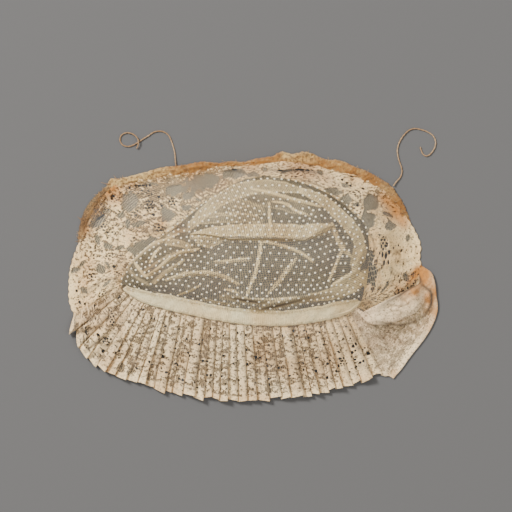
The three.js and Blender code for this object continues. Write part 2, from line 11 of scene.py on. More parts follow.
import bmesh
import bpy
import numpy as np
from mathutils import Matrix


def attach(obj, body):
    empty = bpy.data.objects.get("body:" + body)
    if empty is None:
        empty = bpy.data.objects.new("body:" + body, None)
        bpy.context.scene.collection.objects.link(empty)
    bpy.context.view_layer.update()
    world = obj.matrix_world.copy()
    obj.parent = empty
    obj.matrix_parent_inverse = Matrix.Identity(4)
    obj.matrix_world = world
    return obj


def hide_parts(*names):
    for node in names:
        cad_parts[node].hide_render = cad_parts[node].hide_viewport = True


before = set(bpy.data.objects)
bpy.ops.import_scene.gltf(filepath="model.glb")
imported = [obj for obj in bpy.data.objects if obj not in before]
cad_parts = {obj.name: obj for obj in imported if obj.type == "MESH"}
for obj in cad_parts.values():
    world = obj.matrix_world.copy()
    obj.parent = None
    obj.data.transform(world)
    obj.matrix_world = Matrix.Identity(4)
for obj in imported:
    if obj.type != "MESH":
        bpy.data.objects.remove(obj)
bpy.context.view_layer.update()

# %% [markdown]
# ## Camera
# The cap was photographed from straight above. A long lens, far away, keeps the raised crown from growing
# against the hem. One pixel of the picture is 0.75 mm on the table, and origin_pixel says which pixel lies
# over the middle of the cap's plan, so that any place seen in the picture can be found on it. The plan was
# moved a little when its solids were centred on the frame's origin: that is plan_shift. The name mm is one
# millimetre in the scene's metres.

# %% From the picture to the plan
picture_size = 512
pixel_mm = 0.75
origin_pixel = (253.0, 277.0)
plan_shift = np.array([0.33, 0.384, 0.0])
mm = 0.001


def on_plan(px, py):
    """Millimetres on the cap's plan for a place in the picture."""
    return (np.asarray(px) - origin_pixel[0]) * pixel_mm, (origin_pixel[1] - np.asarray(py)) * pixel_mm


def in_picture(x, y):
    """Where in the picture a place on the plan is seen."""
    return x / pixel_mm + origin_pixel[0], origin_pixel[1] - y / pixel_mm


print("The picture is", picture_size * pixel_mm, "mm wide on the table")

# %% The camera
camera_height = 3.5
camera_far = 20
sensor_width = 36.0
camera_data = bpy.data.cameras.new("camera")
camera = bpy.data.objects.new("camera", camera_data)
bpy.context.scene.collection.objects.link(camera)
middle_x, middle_y = on_plan(picture_size / 2, picture_size / 2)
camera.location = ((middle_x + plan_shift[0]) * mm, (middle_y + plan_shift[1]) * mm, camera_height)
camera_data.sensor_width = sensor_width
camera_data.lens = sensor_width * camera_height / (picture_size * pixel_mm * mm)
camera_data.clip_end = camera_far
bpy.context.scene.camera = camera
print("Lens:", round(camera_data.lens, 1), "mm")

# %% [markdown]
# ## Floor and light
# A plain grey floor and two soft lights. The main one stands high at the upper left, so that folds show a
# light side and a dark side. A wide weak one at the lower right and the world fill the shadows.

# %% Floor
floor_size = 3.0
floor_mesh = bpy.data.meshes.new("floor")
floor_bmesh = bmesh.new()
bmesh.ops.create_grid(floor_bmesh, x_segments=1, y_segments=1, size=floor_size)
floor_bmesh.to_mesh(floor_mesh)
floor_bmesh.free()
floor = bpy.data.objects.new("floor", floor_mesh)
bpy.context.scene.collection.objects.link(floor)
print("Floor:", 2 * floor_size, "m wide")

# %% Lights
def soft_light(name, place, size, power, aim=(0, 0, 0)):
    """A square area light that looks at a point."""
    data = bpy.data.lights.new(name, "AREA")
    data.size = size
    data.energy = power
    light = bpy.data.objects.new(name, data)
    light.location = place
    way = np.array(aim) - np.array(place)
    light.rotation_euler = (
        math.atan2(math.hypot(way[0], way[1]), -way[2]),
        0,
        math.atan2(way[1], way[0]) - math.pi / 2,
    )
    bpy.context.scene.collection.objects.link(light)
    return light


soft_light("main_light", place=(-2.1, 1.95, 2.25), size=0.9, power=236)
soft_light("fill_light", place=(1.4, -0.6, 2.0), size=2.0, power=22)
world_colour = (1.0, 0.98, 0.96, 1)
world_strength = 0.75
world = bpy.data.worlds.new("world")
bpy.context.scene.world = world
world.use_nodes = True
world_light = world.node_tree.nodes["Background"]
world_light.inputs["Color"].default_value = world_colour
world_light.inputs["Strength"].default_value = world_strength

# %% [markdown]
# ## Helpers for finishes
# A material is a small tree of nodes. These helpers add a node, set its sockets and join it to others, so
# that each finish below reads as a short list.

# %% Node helpers
def new_finish(name):
    """A material with only its shader and output."""
    finish = bpy.data.materials.new(name)
    finish.use_nodes = True
    return finish, finish.node_tree, finish.node_tree.nodes["Principled BSDF"]


def add_node(tree, kind, settings=None, values=None):
    """A node with its settings, and constants or links by socket name or number."""
    node = tree.nodes.new(kind)
    for name, value in (settings or {}).items():
        setattr(node, name, value)
    for name, value in (values or {}).items():
        if isinstance(value, bpy.types.NodeSocket):
            tree.links.new(value, node.inputs[name])
        else:
            node.inputs[name].default_value = value
    return node


# %% Sums, mixes and ramps
def math_node(tree, operation, first, second=0.0, third=0.0):
    """One sum on a number."""
    values = {0: first, 1: second}
    if operation == "MULTIPLY_ADD":
        values[2] = third
    return add_node(tree, "ShaderNodeMath", {"operation": operation}, values).outputs[0]


def mixed_colour(tree, share, first, second):
    """A colour between two others."""
    node = tree.nodes.new("ShaderNodeMix")
    node.data_type = "RGBA"
    for place, value in ((0, share), (6, first), (7, second)):
        if isinstance(value, bpy.types.NodeSocket):
            tree.links.new(value, node.inputs[place])
        else:
            node.inputs[place].default_value = value
    return node.outputs[2]


def ramp(tree, value, low, high):
    """A smooth rise from 0 to 1 as a value goes from low to high."""
    return add_node(
        tree,
        "ShaderNodeMapRange",
        {"interpolation_type": "SMOOTHSTEP"},
        {"Value": value, "From Min": low, "From Max": high},
    ).outputs["Result"]


def linear(red, green, blue):
    """A colour given as a screen shows it, 0 to 255, as the shader wants it. This is the sRGB curve."""
    share = np.array([red, green, blue]) / 255
    return (*np.where(share <= 0.04045, share / 12.92, ((share + 0.055) / 1.055) ** 2.4), 1.0)


print("A screen's middle grey is", round(float(linear(128, 128, 128)[0]), 3), "for the shader")

# %% Floor finish
floor_grey = (94, 93, 92)
floor_finish, tree, shader = new_finish("grey_floor")
shader.inputs["Base Color"].default_value = linear(*floor_grey)
shader.inputs["Roughness"].default_value = 0.9
shader.inputs["Specular IOR Level"].default_value = 0.1
floor_mesh.materials.append(floor_finish)
print("Floor finish:", floor_finish.name)

# %% [markdown]
# ## The plan of the cap
# The solids were laid out from two closed curves, the hem on the table and the seam where the lace meets
# the crown. The cloth of this scene has to lie on those solids, so the same sizes, in millimetres, and the
# same stations are used here.

# %% Sizes
half_width = 139.0
half_depth = 94.0
seam_height = 24.0
crown_puff = 17.0
lace_wall = 1.0
band_width = 11.0
band_swell = 1.2
pleat_rise = 4.0
casing_width = 6.5
casing_height = 4.2
corner_fold_rise = 2.6
string_diameter = 1.1
seam_gap = 0.7
string_gap = 0.3
print("The cap is about", 2 * half_width, "mm wide and its crown", seam_height + crown_puff, "mm high")

# %% Stations
# Each row is the hem's x and y and the seam's x and y, as shares of half_width and half_depth, and the
# seam's height as a share of seam_height
stations = np.array(
    [
        (0.897, 0.232, 0.622, 0.272, 0.85),
        (0.838, 0.48, 0.6, 0.408, 0.92),
        (0.752, 0.73, 0.524, 0.528, 0.97),
        (0.578, 0.84, 0.416, 0.648, 1),
        (0.389, 0.928, 0.254, 0.752, 1),
        (0.173, 0.984, 0.092, 0.792, 1),
        (-0.07, 0.936, -0.054, 0.768, 1),
        (-0.286, 0.912, -0.195, 0.656, 1),
        (-0.503, 0.856, -0.297, 0.544, 0.96),
        (-0.757, 0.768, -0.405, 0.408, 0.9),
        (-0.87, 0.576, -0.514, 0.288, 0.82),
        (-0.94, 0.336, -0.611, 0.168, 0.72),
        (-0.995, 0.016, -0.681, 0.04, 0.64),
        (-1, -0.264, -0.708, -0.056, 0.58),
        (-0.984, -0.44, -0.692, -0.104, 0.56),
        (-0.914, -0.624, -0.649, -0.152, 0.56),
        (-0.773, -0.776, -0.573, -0.208, 0.57),
        (-0.584, -0.88, -0.465, -0.256, 0.58),
        (-0.368, -0.96, -0.297, -0.312, 0.6),
        (-0.07, -0.992, -0.081, -0.368, 0.62),
        (0.227, -0.968, 0.162, -0.384, 0.62),
        (0.443, -0.912, 0.346, -0.352, 0.6),
        (0.6, -0.84, 0.465, -0.312, 0.56),
        (0.681, -0.784, 0.519, -0.28, 0.53),
        (0.755, -0.8, 0.545, -0.252, 0.52),
        (0.996, -0.26, 0.567, -0.22, 0.54),
        (0.91, 0.075, 0.585, -0.18, 0.6),
        (0.9, 0.15, 0.612, 0.06, 0.74),
    ]
)
hem_points = np.column_stack(
    [stations[:, 0] * half_width, stations[:, 1] * half_depth, np.full(len(stations), lace_wall / 2)]
)
seam_points = np.column_stack(
    [stations[:, 2] * half_width, stations[:, 3] * half_depth, stations[:, 4] * seam_height]
)
print(len(stations), "stations round the cap, counted from the right end of the back")


# %% Smooth curves
def smooth_curve(points, place, closed):
    """A curve through all its points, read at fractions of their count (centripetal Catmull-Rom)."""
    if not closed:
        points = np.vstack([2 * points[0] - points[1], points, 2 * points[-1] - points[-2]])
    place = np.asarray(place, float)
    last = len(points) if closed else len(points) - 3
    start = np.floor(place) if closed else np.clip(np.floor(place), 0, last - 1)
    part = (place - start)[..., None]
    start = start.astype(int) + (0 if closed else 1)
    before, here, after, beyond = (points[(start + step) % len(points)] for step in (-1, 0, 1, 2))

    def knot(one, other):
        return np.maximum(np.sum((other - one) ** 2, axis=-1, keepdims=True) ** 0.25, 1e-9)

    first, middle, third = knot(before, here), knot(here, after), knot(after, beyond)
    leave = ((here - before) / first - (after - before) / (first + middle)) * middle + (after - here)
    arrive = ((beyond - after) / third - (beyond - here) / (middle + third)) * middle + (after - here)
    return (
        here
        + leave * part
        + (3 * (after - here) - 2 * leave - arrive) * part**2
        + (2 * (here - after) + leave + arrive) * part**3
    )


def smoothstep(value, low, high):
    """A smooth rise from 0 to 1 as a value goes from low to high."""
    share = np.clip((value - low) / (high - low), 0, 1)
    return share * share * (3 - 2 * share)


print("Halfway from station 12 to 13 on the hem:", np.round(smooth_curve(hem_points, 12.5, True), 1))


# %% Places on the hem and the seam
arc_samples = 401


def ring_at(points, station):
    """A place on the hem or the seam."""
    return smooth_curve(points, np.asarray(station, float) % len(stations), True)


def ring_inward(points, station):
    """The level direction across the hem or seam, to the cap's middle."""
    step = 0.003
    along = ring_at(points, np.asarray(station) + step) - ring_at(points, np.asarray(station) - step)
    across = np.stack([-along[..., 1], along[..., 0], np.zeros_like(along[..., 0])], axis=-1)
    return across / np.linalg.norm(across, axis=-1, keepdims=True)


def bulged(points, station, table):
    """Moves places on the hem out, where the cloth's edge bulges: station, spread and reach in mm."""
    for at, spread, reach in table:
        bulge = reach * np.exp(-(((station - at) / spread) ** 2))
        points = points - ring_inward(hem_points, station) * bulge[:, None]
    return points


def even_stations(start, end):
    """Turns a share of the hem's length between two stations into a station."""
    samples = np.linspace(start, end, arc_samples)
    line = ring_at(hem_points, samples)
    lengths = np.concatenate([[0], np.cumsum(np.linalg.norm(np.diff(line, axis=0), axis=1))])
    return lambda share: np.interp(np.asarray(share) * lengths[-1], lengths, samples)


print("Hem to seam at the left:", np.round(ring_at(hem_points, 12.5) - ring_at(seam_points, 12.5), 1))

# %% [markdown]
# ## Cloth as a grid
# A sheet of cloth is a level grid first. While it is still flat, its holes are cut, and the ragged edge of
# a hole is rounded with smooth_vert. Then every point is moved to its place on the cap. A material reads
# the cloth's own flat size from the UV map, in metres, so its threads keep their size over folds.

# %% From grid to cloth
def settle(obj, slot, *nodes):
    """Puts a finished piece on the cap's only body, in place of the solids it stands for."""
    bpy.context.scene.collection.objects.link(obj)
    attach(obj, "root")
    if nodes:
        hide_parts(*nodes)


def sort_faces(shape, reach, kinds, rounding):
    """Gives each face of a grid its finish, cuts the holes and rounds their ragged edges."""
    faces = list(shape.faces)
    middles = np.array([face.calc_center_median()[:2] for face in faces]) / (2 * reach) + 0.5
    sorts = kinds(middles[:, 0], middles[:, 1])
    for face, sort in zip(faces, sorts):
        face.material_index = max(0, int(sort))
    holes = [face for face, sort in zip(faces, sorts) if sort < 0]
    bmesh.ops.delete(shape, geom=holes, context="FACES")
    inner = 0.9998 * reach
    edges = [
        vert
        for vert in shape.verts
        if vert.is_boundary and max(abs(vert.co.x), abs(vert.co.y)) < inner
    ]
    for _ in range(rounding):
        bmesh.ops.smooth_vert(shape, verts=edges, factor=0.5, use_axis_x=True, use_axis_y=True)


def lay_flat(mesh, spots, flat):
    """Gives a mesh the cloth's flat size as its UV map, in metres."""
    corners = np.empty(len(mesh.loops), int)
    mesh.loops.foreach_get("vertex_index", corners)
    layer = mesh.uv_layers.new(name="cloth")
    layer.data.foreach_set("uv", (spots * np.array(flat) * mm)[corners].ravel())


def mesh_points(mesh):
    """A mesh's points, back in the plan's millimetres."""
    values = np.empty(len(mesh.vertices) * 3)
    mesh.vertices.foreach_get("co", values)
    return values.reshape(-1, 3) / mm - plan_shift


# %% The cloth of one piece
weld_distance = 1e-6


def cloth(name, columns, rows, place, flat, finishes, kinds=None, extras=None, tube=False, rounding=2):
    """A grid of cloth. place(u, v) gives its points in millimetres, kinds(u, v) says which finish each
    face has, or -1 for a hole, and extras(u, v, points) gives named numbers for the finishes. A tube's
    long edges are joined and its ends closed, and it has no flat size."""
    shape = bmesh.new()
    bmesh.ops.create_grid(shape, x_segments=columns, y_segments=rows, size=0.5)
    reach = max(abs(vert.co.x) for vert in shape.verts)
    if kinds:
        sort_faces(shape, reach, kinds, rounding)
    spots = np.array([vert.co[:2] for vert in shape.verts]) / (2 * reach) + 0.5
    points = place(spots[:, 0], spots[:, 1])
    for vert, point in zip(shape.verts, (points + plan_shift) * mm):
        vert.co = point
    if tube:
        bmesh.ops.remove_doubles(shape, verts=shape.verts, dist=weld_distance)
        bmesh.ops.holes_fill(shape, edges=[edge for edge in shape.edges if edge.is_boundary])
        bmesh.ops.recalc_face_normals(shape, faces=shape.faces)
    mesh = bpy.data.meshes.new(name)
    shape.to_mesh(mesh)
    shape.free()
    if tube:
        spots = None
        points = mesh_points(mesh)
    else:
        lay_flat(mesh, spots, flat)
    for key, values in (extras(spots, points) if extras else {}).items():
        mesh.attributes.new(key, "FLOAT", "POINT").data.foreach_set("value", np.asarray(values, float))
    mesh.shade_smooth()
    for finish in finishes:
        mesh.materials.append(finish)
    print(name, len(mesh.polygons), "faces,", round(sum(face.area for face in mesh.polygons) * 1e4, 1), "cm2")
    return bpy.data.objects.new(name, mesh)


# %% Ripples
def crinkle(x, y, size, seed):
    """Uneven ripples about size millimetres apart, from about -1 to 1, the same in each run."""
    chance = np.random.default_rng(seed)
    total = 0
    for _ in range(9):
        turn = chance.uniform(0, 2 * np.pi)
        wave = 2 * np.pi / (size * chance.uniform(0.7, 1.7))
        total = total + np.sin(wave * (x * np.cos(turn) + y * np.sin(turn)) + chance.uniform(0, 2 * np.pi))
    return total / 4.5


def ripples(x, y, table):
    """Ripples of several sizes added up. A row is their height, their size in mm and their seed."""
    total = 0
    for height, size, seed in table:
        total = total + height * crinkle(x, y, size, seed)
    return total


sampled = crinkle(np.arange(0.0, 100.0), 0, 14, 3)
print("Ripples go from", round(float(sampled.min()), 2), "to", round(float(sampled.max()), 2))

# %% [markdown]
# ## The drawstring's free ends
# Cotton thread of two plies leaves the casing at its back and lies on the table, with a loop at the left
# and a curl at the right. The points are the same as the solids', as offsets in millimetres from where each
# end leaves the casing, with the height over the table last. A plain round tube would look like wire, so the
# section has two lobes that turn along it.

# %% Routes
left_string_route = [
    (-0.5, 4.5, 0.35), (-0.9, 9.6, 0), (-2.9, 17.1, 0), (-5.7, 23.2, 0), (-10.5, 26.1, 0),
    (-16.2, 25.6, 0), (-21, 22.6, 0), (-25.8, 19.6, 0), (-29.2, 17.4, 0), (-32.5, 15.6, 0),
    (-36.3, 14.7, 0), (-40.1, 16, 0), (-42, 19.3, 0), (-41.1, 22.9, 0), (-37.3, 25, 0.1),
    (-32.7, 24.2, 0.6), (-29.3, 21.4, 1.3), (-28.1, 18.6, 1.55), (-28.4, 15.6, 1.2), (-29.6, 13, 0.5),
]
right_string_route = [
    (2.4, 3.4, 0.35), (5, 6.2, 0), (6.3, 9.8, 0), (6.1, 13.6, 0), (4.6, 17.8, 0), (3.3, 23, 0),
    (3.1, 28, 0), (4.8, 33.4, 0), (8.3, 38.6, 0), (12.2, 42, 0), (16.2, 43, 0), (21, 42.2, 0),
    (26, 40.3, 0), (29.8, 37.5, 0), (31.6, 33.4, 0), (31.2, 29.3, 0), (29.2, 25.7, 0),
    (26.8, 23.2, 0), (24.4, 22.5, 0), (22.1, 24, 0), (20.8, 26.8, 0), (20.1, 29.4, 0),
]
left_string_station = 7.6
right_string_station = 1.97
print("Route points:", len(left_string_route), "at the left,", len(right_string_route), "at the right")

# %% Thread finish
thread_pale = (192, 162, 124)
thread_soiled = (150, 116, 80)
thread_fuzz = (126, 96, 64)
thread_soil_scale = 60.0
thread_fuzz_scale = 2500.0
thread_finish, tree, shader = new_finish("linen_thread")
place = add_node(tree, "ShaderNodeTexCoord").outputs["Object"]
soil = add_node(
    tree, "ShaderNodeTexNoise", None, {"Vector": place, "Scale": thread_soil_scale, "Detail": 3.0}
).outputs["Fac"]
fuzz = add_node(
    tree, "ShaderNodeTexNoise", None, {"Vector": place, "Scale": thread_fuzz_scale, "Detail": 2.0}
).outputs["Fac"]
tone = mixed_colour(tree, ramp(tree, soil, 0.35, 0.65), linear(*thread_pale), linear(*thread_soiled))
tone = mixed_colour(tree, ramp(tree, fuzz, 0.3, 0.7), tone, linear(*thread_fuzz))
tree.links.new(tone, shader.inputs["Base Color"])
rough = add_node(tree, "ShaderNodeMapRange", None, {"Value": fuzz, "To Min": 0.75, "To Max": 0.95})
tree.links.new(rough.outputs["Result"], shader.inputs["Roughness"])
raised = add_node(tree, "ShaderNodeBump", None, {"Height": fuzz, "Strength": 0.5, "Distance": 0.2 * mm})
tree.links.new(raised.outputs["Normal"], shader.inputs["Normal"])
print("Thread finish:", len(tree.nodes), "nodes")


# %% The thread's middle line
string_samples = 1500
string_step_mm = 0.5
string_exit_share = 0.3


def string_path(station, route):
    """The thread's middle line at even steps, and its length in millimetres."""
    leave = ring_at(hem_points, station) - ring_inward(hem_points, station) * string_gap
    leave[2] = casing_height * string_exit_share
    drops = [(leave[0] + x, leave[1] + y, string_diameter / 2 + up) for x, y, up in route]
    points = np.vstack([leave, drops])
    line = smooth_curve(points, np.linspace(0, len(points) - 1, string_samples), False)
    run = np.concatenate([[0], np.cumsum(np.linalg.norm(np.diff(line, axis=0), axis=1))])
    even = np.linspace(0, run[-1], int(run[-1] / string_step_mm) + 1)
    return along_line(line, even, run), run[-1]


def along_line(line, spot, run):
    """Points of a line at places along its run."""
    return np.column_stack([np.interp(spot, run, line[:, axis]) for axis in range(3)])


print("Left end:", round(string_path(left_string_station, left_string_route)[1], 1), "mm")

# %% Thread pieces
string_sides = 12
ply_turn_mm = 3.2
ply_depth = 0.26
tip_share = 0.35
tip_mm = 0.75


def thread(name, node, station, route):
    """A free end of the drawstring. Its tip is a little thinner."""
    line, length = string_path(station, route)
    steps = len(line) - 1

    def around(u, v):
        middle = along_line(line, u * steps, np.arange(steps + 1))
        along = along_line(np.gradient(line, axis=0), u * steps, np.arange(steps + 1))
        along /= np.linalg.norm(along, axis=1, keepdims=True)
        side = np.column_stack([-along[:, 1], along[:, 0], np.zeros(len(u))])
        side /= np.linalg.norm(side, axis=1, keepdims=True)
        above = np.cross(along, side)
        turn = 2 * np.pi * v
        twist = np.pi * u * length / ply_turn_mm
        lobe = 1 - ply_depth * np.sin(turn - twist) ** 2
        radius = string_diameter / 2 * lobe * np.clip((1 - u) * length / tip_mm + tip_share, 0, 1)
        return middle + side * (radius * np.cos(turn))[:, None] - above * (radius * np.sin(turn))[:, None]

    obj = cloth(name, steps, string_sides, around, None, [thread_finish], tube=True)
    settle(obj, "thread", node)
    print(name, "is", round(length, 1), "mm long")


thread("string_left", "drawstring_left", left_string_station, left_string_route)
thread("string_right", "drawstring_right", right_string_station, right_string_route)

# %% [markdown]
# ## Cloth finishes
# Cotton cloth is warp and weft, so two bands of waves on the UV map give its threads, and larger noise gives
# the uneven yellowing of old cotton. Net is the same cotton with see-through cells between its threads, and
# lace is net with motifs, which are solid work with a thin edge and a raised thread round it.
#
# What lies where is not left to chance. Each piece carries up to four numbers on its points: stain is brown
# discolouring, one number darkens the cloth for dust and for painted shade in deep folds, hollows and under
# edges, doubled closes the net's cells where it lies in more than one layer, and worked is how much of the
# net is filled with motifs. The finish reads them by name, and a piece without one of them reads it as 0.

# %% What all cottons share
soil_scale = 38.0
grain_scale = 700.0
thread_shade = 0.16
# Painted shade in the grooves between the threads of the weave
groove_shade_colour = (96, 78, 58)
dust_colour = (112, 86, 56)
thin_work_colour = (150, 120, 82)
# Painted highlight on the raised thread round the motifs
raised_thread_highlight = (255, 240, 200)
# Dust, and painted shade in folds, hollows and under edges
dust_and_shade_colour = (78, 64, 50)
cell_jitter = 0.5
cell_edge = 0.06
layer_reach = 0.42
work_reach = 0.34
waves_per_thread = 0.314


def weave(tree, flat, thread_mm):
    """Warp and weft threads, from 0 to 1."""
    scale = waves_per_thread / (thread_mm * mm)
    threads = [
        add_node(
            tree,
            "ShaderNodeTexWave",
            {"bands_direction": direction, "wave_profile": "SIN"},
            {"Vector": flat, "Scale": scale, "Distortion": 0.6, "Detail": 1.0},
        ).outputs["Fac"]
        for direction in ("X", "Y")
    ]
    return math_node(tree, "MAXIMUM", *threads)


def noise(tree, place, scale, detail):
    """Cloudy noise from 0 to 1."""
    return add_node(
        tree, "ShaderNodeTexNoise", None, {"Vector": place, "Scale": scale, "Detail": detail}
    ).outputs["Fac"]


def net_cells(tree, flat, cells, doubled):
    """A net's threads as 1 and its cells as 0. Where the net is doubled the cells close."""
    cell = add_node(
        tree,
        "ShaderNodeTexVoronoi",
        {"voronoi_dimensions": "2D", "feature": "DISTANCE_TO_EDGE"},
        {"Vector": flat, "Scale": 1 / (cells[0] * mm), "Randomness": cell_jitter},
    )
    filled = math_node(tree, "MULTIPLY_ADD", doubled, -layer_reach, cell.outputs["Distance"])
    return ramp(tree, filled, cells[1] + cell_edge, cells[1])


def net_motifs(tree, flat, motifs, worked):
    """The solid work on a net, from 0 to 1, and the raised thread along its edge."""
    sprig = add_node(
        tree,
        "ShaderNodeTexNoise",
        None,
        {"Vector": flat, "Scale": 1 / (motifs[0] * mm), "Detail": 2.0, "Roughness": 0.6},
    )
    level = math_node(tree, "MULTIPLY_ADD", worked, work_reach, sprig.outputs["Fac"])
    edge = 0.5 + 0.5 * work_reach + motifs[1]
    body = ramp(tree, level, edge - 0.05, edge + 0.03)
    off_edge = math_node(tree, "ABSOLUTE", math_node(tree, "SUBTRACT", level, edge + 0.03))
    return body, ramp(tree, off_edge, 0.04, 0.0)


print("Cotton's soil patches are about", round(1000 / soil_scale), "mm across")


# %% One recipe for every cloth
def cotton(name, pale, deep, stained, thread_mm, bump_mm, cells=None, motifs=None, flecks=0.3, mapped=True):
    """Old cotton. cells is (spacing, thread) of a see-through net, and motifs is (size, shift, contrast) of
    the solid work on it, in mm. An unmapped cloth has its threads on Object coordinates."""
    finish, tree, shader = new_finish(name)
    place = add_node(tree, "ShaderNodeTexCoord").outputs["Object"]
    flat = add_node(tree, "ShaderNodeUVMap", {"uv_map": "cloth"}).outputs[0] if mapped else place
    threads = weave(tree, flat, thread_mm)
    soil = noise(tree, place, soil_scale, 5.0)
    grain = noise(tree, place, grain_scale, 3.0)
    stain, grime, doubled, worked = (
        add_node(tree, "ShaderNodeAttribute", {"attribute_name": key}).outputs["Fac"]
        for key in ("stain", "grime", "doubled", "worked")
    )
    tone = mixed_colour(tree, ramp(tree, soil, 0.38, 0.66), linear(*pale), linear(*deep))
    # Painted shade between the threads, darker where the weave's waves are low
    groove = math_node(tree, "MULTIPLY", ramp(tree, threads, 0.9, 0.3), thread_shade)
    tone = mixed_colour(tree, groove, tone, linear(*groove_shade_colour))
    dusty = math_node(tree, "MULTIPLY", ramp(tree, grain, 0.5, 0.68), flecks)
    tone = mixed_colour(tree, dusty, tone, linear(*dust_colour))
    height = math_node(tree, "MULTIPLY_ADD", grain, 0.6, threads)
    solid = net_cells(tree, flat, cells, doubled) if cells else None
    if motifs:
        contrast = motifs[2]
        body, raised_edge = net_motifs(tree, flat, motifs, worked)
        solid = math_node(tree, "MAXIMUM", solid, body)
        thin = math_node(tree, "MULTIPLY_ADD", body, -contrast, contrast)
        tone = mixed_colour(tree, thin, tone, linear(*thin_work_colour))
        # Painted highlight along the raised thread
        lit_edge = math_node(tree, "MULTIPLY", raised_edge, 0.75 * contrast)
        tone = mixed_colour(tree, lit_edge, tone, linear(*raised_thread_highlight))
        height = math_node(tree, "MULTIPLY_ADD", raised_edge, 1.6, height)
    uneven = math_node(tree, "MULTIPLY", stain, ramp(tree, soil, 0.05, 0.5))
    tone = mixed_colour(tree, uneven, tone, linear(*stained))
    # Dust, and painted shade in folds, hollows and under edges, from each piece's own numbers
    tone = mixed_colour(tree, grime, tone, linear(*dust_and_shade_colour))
    if solid:
        height = math_node(tree, "MULTIPLY", height, solid)
        tree.links.new(solid, shader.inputs["Alpha"])
    tree.links.new(tone, shader.inputs["Base Color"])
    rough = add_node(tree, "ShaderNodeMapRange", None, {"Value": soil, "To Min": 0.8, "To Max": 0.97})
    tree.links.new(rough.outputs["Result"], shader.inputs["Roughness"])
    shader.inputs["Specular IOR Level"].default_value = 0.25
    shader.inputs["Sheen Weight"].default_value = 0.15
    raised = add_node(
        tree, "ShaderNodeBump", None, {"Height": height, "Strength": 0.7, "Distance": bump_mm * mm}
    )
    tree.links.new(raised.outputs["Normal"], shader.inputs["Normal"])
    return finish


# %% The finishes
# Each has a pale, a deep and a stained colour as a screen shows them, its thread's and its bump's size in mm
cream = (255, 221, 161)
yellowed = (231, 190, 134)
brown = (178, 118, 56)
tape_brown = (222, 168, 102)
net_finish = cotton(
    "spotted_net", (222, 197, 144), (200, 170, 118), (176, 124, 66), 0.4, 0.05, cells=(1.15, 0.016)
)
spot_finish = cotton("woven_spot", (255, 244, 214), (250, 232, 192), (226, 180, 120), 0.4, 0.05)
band_finish = cotton("cotton_tape", (255, 240, 188), (255, 228, 170), tape_brown, 0.75, 0.35, flecks=0.25)
stitch_finish = cotton("stitch_thread", (255, 236, 190), (246, 218, 166), tape_brown, 0.3, 0.05)
lace_finish = cotton(
    "side_lace", cream, yellowed, brown, 0.6, 0.15, cells=(1.3, 0.045), motifs=(2.8, -0.01, 0.4), flecks=0.55
)
lace_net_finish = cotton(
    "lace_net", (214, 198, 162), (188, 168, 130), (170, 118, 62), 0.4, 0.05, cells=(1.2, 0.03)
)
frill_finish = cotton(
    "frill_lace", (255, 226, 174), (228, 192, 142), (188, 142, 90), 0.6, 0.15,
    cells=(1.05, 0.08), motifs=(2.5, -0.01, 0.45), flecks=0.55,
)
muslin_finish = cotton(
    "muslin", (255, 227, 180), (238, 204, 160), (190, 124, 54), 0.35, 0.12,
    cells=(0.7, 0.13), motifs=(1.5, 0.02, 0.24), flecks=0.7,
)
casing_finish = cotton(
    "stained_casing", (230, 196, 126), (198, 154, 90), (158, 104, 42), 0.6, 0.6, flecks=0.9, mapped=False
)
fray_finish = cotton("frayed_thread", (180, 140, 88), (138, 98, 56), (112, 74, 38), 0.6, 0.1, mapped=False)
print("Finishes:", [finish.name for finish in bpy.data.materials])


# %% Soft spots
def soft_spots(points, spots):
    """Adds up soft round spots, each a place in the picture, a radius in pixels and a strength."""
    px, py = in_picture(points[:, 0], points[:, 1])
    total = np.zeros(len(points))
    for x, y, radius, strength in spots:
        total += strength * np.exp(-((px - x) ** 2 + (py - y) ** 2) / radius**2)
    return np.clip(total, 0, 1)


print("A spot's middle reads", soft_spots(np.zeros((1, 3)), [(*origin_pixel, 5, 0.8)])[0])

# %% [markdown]
# ## Crown
# The crown is an oval of net gathered to the seam. It stands up as a soft pillow, and one deep tuck runs
# across it where the cloth behind hangs over the cloth in front. Smaller creases run from the tuck to the
# rim. They are kept as lines in the picture with a rise, a soft side and a sharp side, so a crease can lie
# over to one side as cloth does.

# %% The crown's outline
# The band's width as a share, by station
band_taper = np.array(
    [(13.2, 0), (13.7, 0.35), (15, 0.6), (17, 1), (22, 1), (24, 0.75), (25.7, 0.35), (26.2, 0)]
)
corner_front_left = 13.3
corner_front_right = 24.6
corner_back_right = 29.6
corner_back_left = 40.4
corner_end = 41.3
rim_overlap = -1.3


def band_share(station):
    """How wide the band is at a station, as a share of its full width."""
    return np.interp(station % len(stations), band_taper[:, 0], band_taper[:, 1])


def crown_rim(station, clearance):
    """The crown's edge: inside the seam, and inside the band too where there is one."""
    share = band_share(station)
    inset = band_width * share + clearance * np.where(share > 0, 2, 1)
    rim = ring_at(seam_points, station) + ring_inward(seam_points, station) * inset[..., None]
    rim[..., 2] += 0.5 * band_width * share
    return rim


def crown_plan(a, b):
    """The oval blended from its four edges, which lie a little over the lace."""
    a, b = a[:, None], b[:, None]
    front = crown_rim(corner_front_left + (corner_front_right - corner_front_left) * a[:, 0], rim_overlap)
    back = crown_rim(corner_back_left + (corner_back_right - corner_back_left) * a[:, 0], rim_overlap)
    left = crown_rim(corner_end + (corner_back_left - corner_end) * b[:, 0], rim_overlap)
    right = crown_rim(corner_front_right + (corner_back_right - corner_front_right) * b[:, 0], rim_overlap)
    ends = (corner_front_left, corner_front_right, corner_back_right, corner_back_left)
    corner = [crown_rim(np.array([end]), rim_overlap) for end in ends]
    return (
        front * (1 - b)
        + back * b
        + left * (1 - a)
        + right * a
        - corner[0] * (1 - a) * (1 - b)
        - corner[1] * a * (1 - b)
        - corner[2] * a * b
        - corner[3] * (1 - a) * b
    )


print("Crown's middle on the plan:", np.round(crown_plan(np.array([0.5]), np.array([0.5]))[0], 1))


# %% Lines on the cloth
crease_samples = 14


